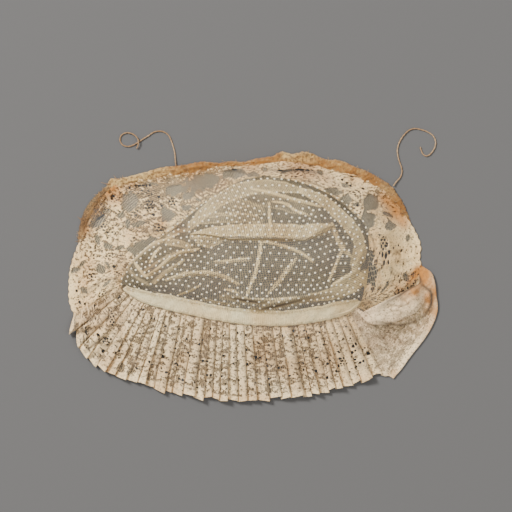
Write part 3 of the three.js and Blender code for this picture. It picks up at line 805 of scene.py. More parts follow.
def nearest_on(line, x, y):
    """The distance to a line through points, the side (left is positive) and the share along it."""
    best = np.full(len(x), np.inf)
    side = np.zeros(len(x))
    share = np.zeros(len(x))
    for step in range(len(line) - 1):
        start, way = line[step], line[step + 1] - line[step]
        part = np.clip(((x - start[0]) * way[0] + (y - start[1]) * way[1]) / max(way @ way, 1e-9), 0, 1)
        distance = np.hypot(x - start[0] - part * way[0], y - start[1] - part * way[1])
        closer = distance < best
        best = np.where(closer, distance, best)
        side = np.where(closer, np.sign(way[0] * (y - start[1]) - way[1] * (x - start[0])), side)
        share = np.where(closer, (step + part) / (len(line) - 1), share)
    return best, side, share


def crease_line(places):
    """A smooth line on the plan through places in the picture."""
    points = np.column_stack([*on_plan(*np.array(places, float).T), np.zeros(len(places))])
    return smooth_curve(points, np.linspace(0, len(points) - 1, crease_samples), False)[:, :2]


def faded(share, margin):
    """Full in the middle of a line and weaker to its ends."""
    return np.sqrt(np.sin(np.pi * (margin + (1 - 2 * margin) * share)))


def creases(x, y, table):
    """The height that a table of creases adds. A row is places in the picture, the rise and the widths of
    its soft left side and its sharp right side, in mm."""
    height = np.zeros(len(x))
    for places, rise, soft, sharp in table:
        distance, side, share = nearest_on(crease_line(places), x, y)
        width = np.where(side > 0, soft, sharp)
        height += rise * np.exp(-((distance / width) ** 2)) * faded(share, 0.06)
    return height


def crease_shade(x, y, table, reach=0.5):
    """Painted shade along the sharp side of creases, from 0 to 1."""
    darkening = np.zeros(len(x))
    for places, rise, _, sharp in table:
        distance, side, share = nearest_on(crease_line(places), x, y)
        line = np.exp(-(((distance - sharp) / reach) ** 2)) * (side < 0) * faded(share, 0.04)
        darkening = np.maximum(darkening, 0.2 * rise * line)
    return darkening


def shade_lines(x, y, table):
    """Thin lines of painted shade, as in a fold or under an edge: places in the picture, half width in mm,
    strength.
    """
    dark = np.zeros(len(x))
    for places, half_width_mm, strength in table:
        distance, _, share = nearest_on(crease_line(places), x, y)
        line = np.exp(-((distance / half_width_mm) ** 2)) * faded(share, 0.04)
        dark = np.maximum(dark, strength * line)
    return dark


# %% The crown's creases
crown_creases = [
    (((220, 199), (245, 198), (259, 200.5), (265, 203), (268, 210)), 1.2, 3, 1.0),
    (((269, 203), (269.7, 220), (270.6, 235)), 1.6, 2.5, 1.2),
    (((260.7, 240), (260.2, 250), (255.5, 272), (246, 297)), 1.5, 2.5, 1.2),
    (((264, 242), (279, 245), (288, 248), (302, 254), (313, 262)), 1.8, 2.5, 1.1),
    (((296, 258), (289, 267), (280, 280), (268, 293)), 1.2, 3, 1.1),
    (((341.6, 250), (334.7, 266), (328, 282)), 1.2, 3, 1.2),
    (((331, 223), (337, 239), (341.6, 248), (351, 257)), 1.5, 3, 1.2),
    (((250, 189), (275, 195), (300, 202), (320, 207)), 1.6, 3.5, 1.0),
    (((272, 202), (285, 204), (295, 211), (307, 215)), 1.0, 2, 1.0),
    (((136.6, 258), (153, 244), (166, 240), (178, 234)), 1.6, 2.5, 1.0),
    (((147, 276), (160, 268), (178, 254), (200, 249)), 1.8, 3, 1.0),
    (((155, 283), (170, 270), (185, 260)), 1.3, 3, 1.0),
    (((166, 280), (183, 275), (200, 273), (220, 275), (239, 284)), 1.8, 3.5, 1.2),
    (((178, 295), (193, 289), (201, 285)), 1.0, 2.5, 1.0),
    (((331, 286), (348, 277), (359, 269)), 1.4, 2.5, 1.0),
    (((230, 296), (245, 298), (258, 299.5), (272, 300)), 1.6, 3, 0.8),
    (((253, 304), (266, 304.5), (282, 301), (302, 296.5), (320, 293)), 1.9, 3, 0.8),
]
print(len(crown_creases), "creases on the crown")

# %% The crown's layers
# Where the net lies in more than one layer: a line in the picture, its half width in pixels and how much
# of the cells the further layer closes
crown_layers = [
    (((190, 228), (204, 213), (221, 200), (238, 191), (256, 187), (280, 187), (300, 191)), 6.5, 0.22),
    (((300, 191), (320, 199), (336, 213), (350, 227), (358, 240), (357, 252), (352, 264)), 6.0, 0.34),
    (
        ((193, 236), (219, 231.5), (250, 230.5), (272, 230.5), (300, 231.5), (317, 229.5), (329, 227)),
        6.5,
        0.4,
    ),
    (((205, 214), (225, 209), (240, 207), (262, 212)), 8.0, 0.09),
    (((269, 203), (269.7, 220), (270.6, 235)), 1.3, 0.5),
    (((260.7, 240), (260.2, 250), (255.5, 272), (246, 297)), 1.4, 0.5),
    (((264, 242), (279, 245), (288, 248), (302, 254), (313, 262)), 1.4, 0.5),
    (((296, 258), (289, 267), (280, 280), (268, 293)), 2.0, 0.22),
    (((341.6, 250), (334.7, 266), (328, 282)), 1.3, 0.35),
    (((331, 223), (337, 239), (341.6, 248), (351, 257)), 2.0, 0.35),
    (((250, 189), (275, 195), (300, 202), (320, 207)), 1.8, 0.4),
    (((272, 202), (285, 204), (295, 211), (307, 215)), 1.1, 0.5),
    (((331, 286), (348, 277), (359, 269)), 3.0, 0.5),
    (((359, 272), (363, 279), (366, 288)), 2.2, 0.5),
    (((305, 298), (330, 294), (350, 287), (366, 274)), 5.5, 0.3),
    (((346, 292), (356, 282), (368, 272)), 7.0, 0.26),
    (((352, 270), (360, 258), (364, 246)), 4.0, 0.3),
    (((232, 205), (262, 200), (290, 206), (312, 214)), 7.0, 0.05),
    (((193, 222), (210, 219), (240, 218), (262, 221)), 5.0, 0.1),
    (((136.6, 258), (153, 244), (166, 240), (178, 234)), 1.3, 0.5),
    (((150.7, 262), (156, 253), (160.6, 247)), 1.1, 0.5),
    (((166, 243), (178, 243), (191, 247)), 3.2, 0.18),
    (((147, 276), (160, 268), (178, 254), (200, 249)), 2.0, 0.4),
    (((155, 283), (170, 270), (185, 260)), 1.8, 0.35),
    (((197, 241), (210, 243), (222, 240)), 4.0, 0.16),
    (((215, 261.5), (232, 260), (250, 258)), 0.9, 0.5),
    (((166, 280), (183, 275), (200, 273), (220, 275), (239, 284)), 2.3, 0.38),
    (((178, 295), (193, 289.5), (201, 285)), 1.0, 0.5),
    (((225, 289), (232, 290), (239, 293)), 1.2, 0.4),
    (((135, 262), (141, 270), (147, 277)), 1.4, 0.5),
    (((240, 299), (270, 300), (300, 297)), 2.0, 0.3),
]


def layered(x, y, table):
    """How far a further layer closes the cells, with a firmer line along its folded edges."""
    once = np.ones(len(x))
    ragged = 0.45 * crinkle(x, y, 5, 91)
    wavy = 0.06 * crinkle(x, y, 13, 92)
    for places, half_width_px, closed in table:
        distance, _, share = nearest_on(crease_line(places), x, y)
        wide = half_width_px * np.clip(np.sin(np.pi * (0.03 + 0.94 * share)), 0, 1) ** 0.4
        distance = distance / pixel_mm + ragged + wavy * half_width_px
        inside_it = 1 - smoothstep(distance, wide - 0.5, wide + 0.6)
        edge = 0.22 * np.exp(-(((distance - wide + 0.4) / 0.6) ** 2)) * (share > 0) * (share < 1)
        once *= 1 - np.clip(closed * inside_it + edge, 0, 0.95)
    return 1 - once


print(len(crown_layers), "places where the crown lies in more than one layer")

# %% The crown's painted shade and stains
# Lines of painted shade: under the tuck, in folds and along the band
crown_shade_lines = [
    (((192, 238.5), (227, 239.5), (270, 240), (303, 239.5), (326, 233)), 0.8, 0.75),
    (((252, 308.5), (262, 308.5), (270, 307), (282, 304.5), (300, 300), (319, 297)), 1.8, 1.0),
    (((222, 296.5), (236, 298.5), (250, 301), (262, 302.5), (272, 302.5)), 1.7, 1.0),
    (((203, 299), (222, 303), (240, 306)), 0.8, 0.8),
    (((133, 262), (150, 248), (166, 241)), 0.7, 0.6),
    (((140, 275), (158, 262), (176, 252)), 0.7, 0.5),
    (((150, 285), (165, 272), (180, 264)), 0.7, 0.5),
    (((128, 268), (137, 277), (150, 285)), 0.8, 0.6),
    (((318, 297), (331, 295), (340, 298), (349, 286)), 0.7, 0.68),
    (((172, 230), (190, 208), (205, 197), (222, 187), (236, 181)), 0.8, 0.6),
    (((166, 237), (176, 232), (190, 230)), 1.0, 0.75),
    (((215, 263), (232, 262), (250, 260)), 0.5, 0.45),
    (((330, 224), (338, 238), (345, 247)), 0.6, 0.52),
    (((356, 270), (360, 264), (363, 256)), 0.8, 0.75),
]
crown_stains = [(180, 229, 9, 0.7), (163, 224, 6, 0.4), (150, 268, 8, 0.3), (330, 232, 12, 0.25)]
print(len(crown_shade_lines), "dark lines and", len(crown_stains), "stains on the crown")

# %% The crown's surface
# The tuck's rows are a share of the width, where it lies from front to back, and how deep it is
crown_tuck = np.array(
    [
        (0, 0.76, 0), (0.3, 0.86, 0), (0.38, 0.78, 0.8), (0.5, 0.64, 1), (0.6, 0.59, 1),
        (0.7, 0.56, 1), (0.8, 0.66, 0.6), (0.87, 0.7, 0), (1, 0.7, 0),
    ]
)
tuck_rise = 4.0
tuck_reach = 2.4
tuck_fade = 0.3
rim_lift = 0.9
dome_fullness = 0.7
gather_count = 46
gather_rise = 0.7
gather_reach = 0.06
crown_ripples = [(0.5, 14, 3), (0.2, 5, 4)]


def crown_surface(u, v):
    """The net's points. v is 0 at the front rim, 0.5 at the tuck and 1 at the back rim."""
    line = np.interp(u, crown_tuck[:, 0], crown_tuck[:, 1])
    depth = np.interp(u, crown_tuck[:, 0], crown_tuck[:, 2])
    row = 2 * v
    b = np.where(row < 1, row * line, line + (row - 1) * (1 - line))
    point = crown_plan(u, b)
    dome = (np.clip(np.sin(np.pi * u), 0, 1) * np.clip(np.sin(np.pi * b), 0, 1)) ** dome_fullness
    inside = smoothstep(dome, 0, 0.4)
    x, y = point[:, 0], point[:, 1]
    gathers = np.sin(2 * np.pi * u * gather_count + 2 * crinkle(x, y, 30, 5)) * np.sin(np.pi * u) ** 2
    gathers = gather_rise * np.exp(-b / gather_reach) * gathers * smoothstep(b, 0, 0.02)
    folds = creases(x, y, crown_creases) + ripples(x, y, crown_ripples)
    point[:, 2] += crown_puff * dome + folds * inside + gathers
    past = row - 1
    hung = np.where(past > 0, np.exp(-past / tuck_fade), smoothstep(past, -0.03, 0) * 0.5) * depth
    point[:, 1] -= tuck_reach * hung
    point[:, 2] += tuck_rise * hung + rim_lift * smoothstep(b, 0.3, 0.8)
    return point


def crown_numbers(spots, points):
    """Where the net lies in more than one layer, where it is stained, and the painted shade in its folds and
    under its tuck.
    """
    x, y = points[:, 0], points[:, 1]
    dark = shade_lines(x, y, crown_shade_lines)
    return {
        "doubled": np.maximum(layered(x, y, crown_layers), dark),
        "stain": soft_spots(points, crown_stains),
        "grime": np.maximum(dark, crease_shade(x, y, crown_creases)),
    }


# %% The crown
crown_flat = (196.0, 128.0)
crown = cloth("crown_net", 290, 200, crown_surface, crown_flat, [net_finish], extras=crown_numbers)
settle(crown, "spotted_net", "crown")

# %% [markdown]
# The net's spots are woven in with thicker thread. Each is a small flattened ball, set on the net in
# staggered rows.

# %% Woven spots
from mathutils import Matrix, Vector

spot_pitch = (4.2, 3.7)
spot_room = 3.3
spot_size = (0.95, 0.95, 0.38)
spot_side_room = 0.015
surface_step = 0.004
bead_lift_mm = 0.15


def spot_places():
    """Staggered rows. Where the cloth turns down to the rim, spots that would crowd are left out."""
    chance = np.random.default_rng(21)
    rows = int(crown_flat[1] / spot_pitch[1])
    across = int(crown_flat[0] / spot_pitch[0])
    places = []
    for row in range(rows - 1, 0, -1):
        for column in range(across):
            u = (column + 0.5 * (row % 2) + 0.25) / across + chance.normal(0, 0.0008)
            places.append((u, row / rows + chance.normal(0, 0.001)))
    places = np.array(places)
    tops = crown_surface(places[:, 0], places[:, 1])[:, :2]
    kept = []
    for index, top in enumerate(tops):
        crowded = len(kept) and np.min(np.sum((tops[kept] - top) ** 2, axis=1)) < spot_room**2
        if not crowded and spot_side_room < places[index, 0] < 1 - spot_side_room:
            kept.append(index)
    return places[kept]


def beads(name, surface, places, sizes, finish):
    """Small raised ovals on a surface: sizes are millimetres along it, across it and out of it."""
    u, v = places.T
    tops = surface(u, v)
    before, after = np.clip(v - surface_step, 0, 1), np.clip(v + surface_step, 0, 1)
    along = surface(u + surface_step, v) - surface(u - surface_step, v)
    outs = np.cross(along, surface(u, after) - surface(u, before))
    outs /= np.linalg.norm(outs, axis=1, keepdims=True)
    shape = bmesh.new()
    for top, way, out in zip((tops + plan_shift) * mm, along, outs):
        way = Vector(way).normalized()
        out = Vector(out)
        turn = Matrix((way, out.cross(way), out)).transposed().to_4x4()
        lifted = Matrix.Translation(Vector(top) + out * bead_lift_mm * mm)
        where = lifted @ turn @ Matrix.Diagonal((*sizes, 1))
        bmesh.ops.create_icosphere(shape, subdivisions=1, radius=mm, matrix=where)
    mesh = bpy.data.meshes.new(name)
    shape.to_mesh(mesh)
    shape.free()
    mesh.shade_smooth()
    mesh.materials.append(finish)
    print(len(places), name, len(mesh.polygons), "faces")
    return bpy.data.objects.new(name, mesh)


crown_spots = beads("crown_spots", crown_surface, spot_places(), spot_size, spot_finish)
settle(crown_spots, "spotted_net")

# %% [markdown]
# ## Front band
# A plain cotton tape, folded in at both edges, joins the crown to the frill. It is a narrow grid with
# Solidify for its thickness. A row of small stitches runs along each edge. A stitch this size is only a
# short raised oval, so the spots' function makes them too.

# %% The tape's marks
band_stains = [(131, 285, 6, 0.6), (190, 307, 16, 0.25), (260, 316, 14, 0.3), (340, 307, 12, 0.3)]
# Painted shade in the fold at the tape's upper edge
band_shade_lines = [(((250, 309), (262, 310), (274, 307.5)), 1.0, 0.9)]
print(len(band_stains), "stains on the band")

# %% The tape's surface
tape_wall = 0.8
tape_lift = 0.4
band_from, band_to = 13.7, 25.7
band_ripples = [(0.3, 16, 8), (0.16, 5, 9), (0.09, 2.4, 10)]
band_waver = (0.3, 6, 14)


def band_surface(u, v):
    """The tape's lower side, from the seam up to the crown's rim."""
    station = band_from + (band_to - band_from) * u
    low = ring_at(seam_points, station) + ring_inward(seam_points, station) * (seam_gap - tape_lift)
    high = crown_rim(station, 0.0)
    point = low * (1 - v)[:, None] + high * v[:, None]
    fullness = np.sin(np.pi * np.clip(v, 0, 1)) ** 0.5
    point[:, 2] += band_swell * band_share(station) * fullness + tape_lift
    x, y = point[:, 0].copy(), point[:, 1].copy()
    point[:, 2] += ripples(x, y, band_ripples) * fullness
    point[:, 1] += ripples(x, y, [band_waver])
    return point


def band_top(u, v):
    """The tape's upper side, where the stitches lie."""
    return band_surface(u, v) + np.array([0, 0, tape_wall])


def band_numbers(spots, points):
    """The tape's stains, the dust along its edges and the painted shade in the fold at its upper edge."""
    x, y = points[:, 0], points[:, 1]
    near_edge = np.abs(2 * spots[:, 1] - 1) ** 2
    darkening = np.clip(crinkle(x, y, 5, 15), 0, 1) * near_edge
    return {
        "stain": soft_spots(points, band_stains),
        "grime": np.maximum(0.25 * darkening, shade_lines(x, y, band_shade_lines)),
    }


# %% The tape
band_flat = (205.0, 14.0)
band = cloth("front_tape", 420, 20, band_surface, band_flat, [band_finish], extras=band_numbers)
band_solid = band.modifiers.new("thickness", "SOLIDIFY")
band_solid.thickness = tape_wall * mm
band_solid.offset = 1.0
settle(band, "tape_band", "front_band")

# %% The stitches
stitch_rows = (0.14, 0.88)
stitch_count = 105
stitch_size = (0.62, 0.42, 0.5)
stitch_places = np.array(
    [((spot + 0.5) / stitch_count, row) for row in stitch_rows for spot in range(stitch_count)]
)
stitches = beads("tape_stitches", band_top, stitch_places, stitch_size, stitch_finish)
settle(stitches, "tape_band")

# %% [markdown]
# ## Lace round the sides and back
# The lace is a strip with motifs, fillings of fine net and a scalloped edge. Its larger eyelets are cut in
# the grid, so the table shows through them. Fillings are faces with the plain net finish, and a cord of
# thread is raised round each. The fillings, eyelets and tears that can be made out in the picture are
# charted. Between them runs a simple repeat of blossoms and leaves, and the motifs' fine work is
# noise in the finish, because no one can chart it from a picture this small.

# %% The lace's edges
lace_from, lace_to = 24.55, 41.35
lace_bulges = [(41.25, 0.4, -4.6), (40.4, 0.5, -1.2), (28.3, 0.6, 1.4), (25.5, 0.38, -7.5), (24.8, 0.4, -6.0)]
lace_stations = even_stations(lace_from, lace_to)
casing_from, casing_to = 0.9, 11.4
casing_roll_room = 2.8
strip_samples = 801


def casing_share(station):
    """1 along the back, where the casing covers the lace's edge, and 0 elsewhere."""
    place = station % len(stations)
    rising = smoothstep(place, casing_from - 0.8, casing_from + 1.2)
    falling = smoothstep(place, casing_to - 1.2, casing_to + 0.8)
    return rising * (1 - falling)


def climb(v):
    """How high the cloth stands from the hem, 0, to the seam, 1."""
    return 0.5 - 0.5 * np.cos(np.pi * np.clip(v, 0, 1) ** 1.1)


def lace_edges(u):
    """The station, the casing's share, the outer edge and the seam at a share of the strip's length."""
    station = lace_stations(u)
    share = casing_share(station)
    room = (casing_width - casing_roll_room) * share
    outer = ring_at(hem_points, station) + ring_inward(hem_points, station) * room[:, None]
    outer = bulged(outer, station, lace_bulges)
    outer[:, 2] = lace_wall / 2 + (casing_height / 2 - lace_wall / 2) * share
    return station, share, outer, ring_at(seam_points, station)


strip_outer = lace_edges(np.linspace(0, 1, strip_samples))[2]
strip_length = np.sum(np.linalg.norm(np.diff(strip_outer[:, :2], axis=0), axis=1))
print("Lace strip:", round(strip_length, 1), "mm along its edge")

# %% The lace's folds
# Swells by station, with their spread and their height as a share of corner_fold_rise
lace_folds = [
    (39.6, 0.28, 0.9), (40.5, 0.24, 1.1), (41.1, 0.18, 0.9), (37.6, 0.3, 0.8), (36.4, 0.26, 0.7),
    (34.5, 0.3, 0.8), (32.8, 0.25, 0.7), (30.4, 0.28, 0.6), (28.6, 0.3, 0.7), (27.2, 0.22, 0.6),
]
lace_creases = [
    (((88.7, 287), (99, 280.5), (112, 276.5), (121, 279)), 1.5, 4, 0.7),
    (((89, 308), (98, 298), (107, 290.3), (116, 285)), 1.5, 4, 0.7),
    (((111, 216), (111.7, 231), (120, 245), (124, 258)), 1.1, 1.6, 1.0),
    (((135, 237), (150, 234), (175, 230)), 1.2, 3, 0.8),
    (((112, 190), (118, 200), (122, 214)), 1.0, 2, 0.8),
    (((152, 190), (170, 186), (180, 183)), 0.8, 2, 0.8),
]
print(len(lace_folds), "swells and", len(lace_creases), "creases in the lace")

# %% The lace's chart
# Ovals in the picture: the middle, half the length, half the width and the turn in degrees
net_fillings = [
    (130, 202, 8, 10.5, 15), (176, 190, 11, 5, -10), (203, 182, 17, 8, -12), (189, 196, 6, 4, 0),
    (168, 215, 7, 7, 0), (187, 208, 5, 3, -20), (147, 246, 19, 7, -14), (139, 224, 6, 3, -25),
    (121.6, 216, 4, 3, 0), (98, 221, 9, 4.5, -38), (345, 201, 6, 6.5, 0), (370, 203, 9, 9, 0),
    (367, 221, 8, 9, 10), (390, 226, 5, 5, 0), (369, 259, 5, 9, 0), (371, 276, 6, 9, 10),
    (108, 246, 4, 3.5, 0), (101, 269, 5, 5, 40), (76, 270, 3.5, 3, 0), (235, 174, 12, 5, -8),
    (333, 192, 8, 4, 10), (253, 175, 5.5, 3, 0), (345, 186, 4, 2.5, 0),
]
# Flowers of small holes: the middle, half the width and half the height
eyelet_flowers = [(150, 206, 5.5, 6), (383.5, 243, 4, 7), (173, 202, 4, 4), (104.8, 227, 3.5, 4)]
# Single holes: the middle and the radius
lone_eyelets = [
    (95.6, 248, 1.0), (94, 255, 1.0), (107.8, 238, 1.1), (102.5, 251, 1.0), (114.7, 266.5, 1.5),
    (136, 186, 1.2), (139.5, 185.8, 1.3), (143, 185.6, 1.2), (146.5, 185.4, 1.3), (150, 185.2, 1.2),
    (382, 256, 1.1), (393, 248, 0.9), (401, 251.5, 0.9), (391.5, 271, 0.7), (398.5, 276.5, 0.8),
    (97, 309, 1.3), (77, 291, 1.2), (79.5, 302, 1.3), (85, 304, 1.1), (159, 197, 1.4), (162, 206, 1.3),
    (154, 215, 1.3), (186, 172, 1.2), (110, 192, 1.6), (113.6, 196, 1.2), (350, 186, 1.2),
    (347, 183, 1.1), (342, 180, 1.1), (363, 189, 1.2), (357, 206, 1.0), (356, 215, 1.2),
]
# Slits, as ovals, and the threads that still cross them
lace_tears = [
    (95, 212, 5, 1.1, -42), (101, 217, 5, 1.0, -40), (112, 197, 1.0, 3.0, 0), (303, 170, 9, 1.0, 3),
    (352, 176.5, 2.2, 0.9, 20), (234, 169.5, 3.0, 1.0, 8), (281, 171, 4, 0.9, 0), (265, 177, 6, 0.8, 0),
]
tear_threads = [
    ((285, 163), (299, 175)), ((299, 175), (313, 163)), ((320, 166), (317, 176)), ((92, 204), (101, 216)),
]
# One repeat, in millimetres along the strip and from its edge
repeat_mm = 46.0
repeat_start_mm = 9
repeat_blossoms = [(12, 17, 5.2), (35, 26, 4.6), (12, 38, 5.0), (35, 48, 4.6)]
repeat_leaves = [(23.5, 12, 6, 2.6, 35), (23.5, 30, 6, 2.6, -35), (0, 27, 6, 2.6, 30), (0, 8, 5, 2.2, -30)]
print(len(net_fillings), "fillings,", len(eyelet_flowers), "flowers,", len(lone_eyelets), "eyelets")


# %% Ovals and blossoms
far_off = 9.0
petal_count = 5
blossom_eye_mm = 0.9
petal_eye_mm = 0.75
petal_eye_share = 0.6


def turned(x, y, middle_x, middle_y, angle):
    """Coordinates about a turned ellipse's middle."""
    c, s = math.cos(math.radians(angle)), math.sin(math.radians(angle))
    return (x - middle_x) * c + (y - middle_y) * s, -(x - middle_x) * s + (y - middle_y) * c


def ovals(x, y, table):
    """How far out of the nearest oval a place is: less than 1 is inside. Also that oval's size."""
    out = np.full(len(x), far_off)
    size = np.ones(len(x))
    for middle_x, middle_y, long, wide, angle in table:
        p, q = turned(x, y, middle_x, middle_y, angle)
        distance = np.hypot(p / long, q / wide)
        closer = distance < out
        out = np.where(closer, distance, out)
        size = np.where(closer, min(long, wide), size)
    return out, size


def petals(x, y, table):
    """Blossoms with a middle eyelet and five petals: the distance to the nearest hole's edge, which is less
    than 0 inside it, and the distance to the nearest rim, in millimetres."""
    hole = np.full(len(x), far_off)
    rim = np.full(len(x), far_off)
    for middle_x, middle_y, radius in table:
        p, q = x - middle_x, y - middle_y
        distance, turn = np.hypot(p, q), np.arctan2(q, p)
        hole = np.minimum(hole, distance - blossom_eye_mm)
        lobes = radius * (0.72 + 0.28 * np.abs(np.cos(petal_count / 2 * turn)))
        rim = np.minimum(rim, np.abs(distance - lobes))
        petal_turn = 2 * np.pi / petal_count
        nearest = np.round(turn / petal_turn) * petal_turn
        reach = petal_eye_share * radius
        off = np.hypot(p - reach * np.cos(nearest), q - reach * np.sin(nearest))
        hole = np.minimum(hole, off - petal_eye_mm)
    return hole, rim


def lattice(px, py, pitch_x, pitch_y):
    """The distance to the nearest of many staggered places, as a share of their pitch."""
    staggered = 0.5 * (np.round(py / pitch_y) % 2)
    return np.hypot((px / pitch_x + staggered) % 1 - 0.5, (py / pitch_y + 0.5) % 1 - 0.5)


# %% Places on the repeat
def repeat_place(u, v, depth):
    """Millimetres along one repeat of the lace, and from its edge."""
    return (u * strip_length + repeat_start_mm) % repeat_mm, v * depth


def wrapped(table):
    """A repeat's table, with its shapes again one repeat before and after."""
    return [(row[0] + shift, *row[1:]) for row in table for shift in (-repeat_mm, 0, repeat_mm)]


def charted(px, py, margin):
    """Where a listed filling, flower or eyelet lies, with some room round it."""
    out, _ = ovals(px, py, [(x, y, a + margin, b + margin, turn) for x, y, a, b, turn in net_fillings])
    flowers, _ = ovals(px, py, [(x, y, a + margin, b + margin, 0) for x, y, a, b in eyelet_flowers])
    return np.minimum(out, flowers) < 1


print("The repeat comes", round(strip_length / repeat_mm, 1), "times")


# %% Which faces are net and which are holes
flower_pitch_px = (3.4, 3.2)
flower_hole = 0.33
speckle_from = 1.05
repeat_margin_mm = 3
edge_share = 0.012
torn_thread_px = 0.6
filling_raggedness = (0.3, 7, 74)
tear_raggedness = (0.35, 4, 17)


def lace_sorts(u, v):
    """0 is solid cotton, 1 a net filling and -1 a hole."""
    _, _, outer, inner = lace_edges(u)
    depth = np.linalg.norm(outer[:, :2] - inner[:, :2], axis=1)
    point = outer * (1 - v)[:, None] + inner * v[:, None]
    px, py = in_picture(point[:, 0], point[:, 1])
    along, off = repeat_place(u, v, depth)
    sort = np.zeros(len(u))
    patterned = ~charted(px, py, 2.0) & (off < depth - repeat_margin_mm)
    hole, _ = petals(along, off, wrapped(repeat_blossoms))
    sort[patterned & (hole < 0)] = -1
    leaf, _ = ovals(along, off, wrapped(repeat_leaves))
    sort[patterned & (leaf < 0.75)] = 1
    filling, _ = ovals(px, py, net_fillings)
    sort[filling * (1 + ripples(px, py, [filling_raggedness])) < 1] = 1
    flower, _ = ovals(px, py, [(*row, 0) for row in eyelet_flowers])
    sort[flower < 1.15] = 0
    sort[(flower < 1) & (lattice(px, py, *flower_pitch_px) < flower_hole)] = -1
    sort[(sort == 0) & (crinkle(px, py, 3.4, 72) > speckle_from)] = -1
    for x, y, radius in lone_eyelets:
        sort[np.hypot(px - x, py - y) < radius] = -1
    bridged = np.full(len(u), far_off)
    for line in tear_threads:
        bridged = np.minimum(bridged, nearest_on(np.array(line, float), px, py)[0])
    for x, y, long, wide, angle in lace_tears:
        across, up = turned(px, py, x, y, angle)
        ragged = 1 + ripples(px, py, [tear_raggedness])
        sort[(np.hypot(across / long, up / wide) < ragged) & (bridged > torn_thread_px)] = -1
    sort[(v < edge_share) & (sort < 0)] = 0
    return sort


# %% Raised thread
stem_from_edge_mm = 20
stem_swing_mm = 7


def lace_cords(u, v, x, y, depth):
    """Raised thread round fillings, blossoms, leaves and the scalloped edge."""
    px, py = in_picture(x, y)
    along, off = repeat_place(u, v, depth)
    plain = ~charted(px, py, 2.5)
    _, rim = petals(along, off, wrapped(repeat_blossoms))
    height = 0.35 * np.exp(-((rim / 0.6) ** 2)) * plain
    leaf, size = ovals(along, off, wrapped(repeat_leaves))
    height += 0.35 * np.exp(-(((leaf - 0.95) * size / 0.7) ** 2)) * plain
    stem = off - stem_from_edge_mm - stem_swing_mm * np.sin(2 * np.pi * along / repeat_mm)
    height += 0.3 * np.exp(-((stem / 0.7) ** 2)) * plain
    filling, size = ovals(px, py, net_fillings)
    filling = filling * (1 + ripples(px, py, [filling_raggedness]))
    height += 0.5 * np.exp(-(((filling - 1.06) * size / 1.0) ** 2)) - 0.25 * (filling < 1)
    flower, size = ovals(px, py, [(*row, 0) for row in eyelet_flowers])
    height += 0.6 * np.exp(-(((flower - 1.3) * size / 1.5) ** 2))
    height += 0.3 * np.exp(-(((off - 4.4) / 0.6) ** 2))
    return height


# %% The lace's surface
scallop_mm = 5.2
scallop_depth_mm = 0.8
lace_ripples = [(0.45, 15, 11), (0.18, 5, 12)]
gather_mm = 4.3
lace_gather_rise = 0.12


def lace_surface(u, v):
    """The lace's points. v is 0 at its outer edge and 1 at the seam."""
    station, share, outer, inner = lace_edges(u)
    depth = np.linalg.norm(outer[:, :2] - inner[:, :2], axis=1)
    point = outer * (1 - v)[:, None] + inner * v[:, None]
    point[:, 2] = outer[:, 2] + (inner[:, 2] - outer[:, 2]) * climb(v)
    for at, spread, rise in lace_folds:
        swell = np.exp(-(((station - at) / spread) ** 2)) * np.sin(np.pi * np.minimum(1, v * 0.95 + 0.03))
        point[:, 2] += corner_fold_rise * rise * swell
    x, y = point[:, 0].copy(), point[:, 1].copy()
    free = np.exp(-v * depth / 2.5) * (1 - share)
    along = u * strip_length
    lobe = np.abs(np.sin(np.pi * along / scallop_mm))
    out = -ring_inward(hem_points, station)
    point += out * (scallop_depth_mm * free * (lobe - 0.4))[:, None]
    body = smoothstep(v * depth, 0, 5) * (1 - 0.6 * smoothstep(v, 0.85, 1))
    point[:, 2] += (ripples(x, y, lace_ripples) + creases(x, y, lace_creases)) * body
    gathers = np.sin(2 * np.pi * along / gather_mm + 4 * crinkle(x, y, 25, 13))
    point[:, 2] += lace_gather_rise * smoothstep(v, 0.6, 1) * gathers + lace_cords(u, v, x, y, depth)
    return point


# %% The lace's motifs, painted shade and stains
# Soft spots where the net has more solid work, or less: place in the picture, radius and strength
lace_density = [
    (150, 195, 22, -0.36), (205, 180, 26, -0.34), (176, 190, 12, -0.3), (140, 225, 9, -0.2),
    (100, 215, 12, -0.2), (124, 242, 7, 0.27),
    (170, 228, 7, 0.14), (173, 203, 7, 0.2), (150, 214, 7, 0.18), (116, 204, 5, 0.18),
    (108, 240, 8, 0.09), (84, 262, 14, 0.11), (74, 290, 12, 0.2), (90, 305, 14, 0.18), (106, 262, 9, 0.11),
    (108, 287, 12, 0.14), (392, 243, 16, 0.2), (412, 255, 14, 0.23), (396, 268, 16, 0.18),
    (354, 184, 13, 0.18), (387, 212, 9, 0.18), (404, 232, 10, 0.14), (372, 262, 7, -0.3),
    (280, 180, 20, 0.07), (325, 182, 12, 0.14),
    (385, 285, 12, 0.18), (378, 240, 30, 0.27), (398, 225, 14, 0.16),
]
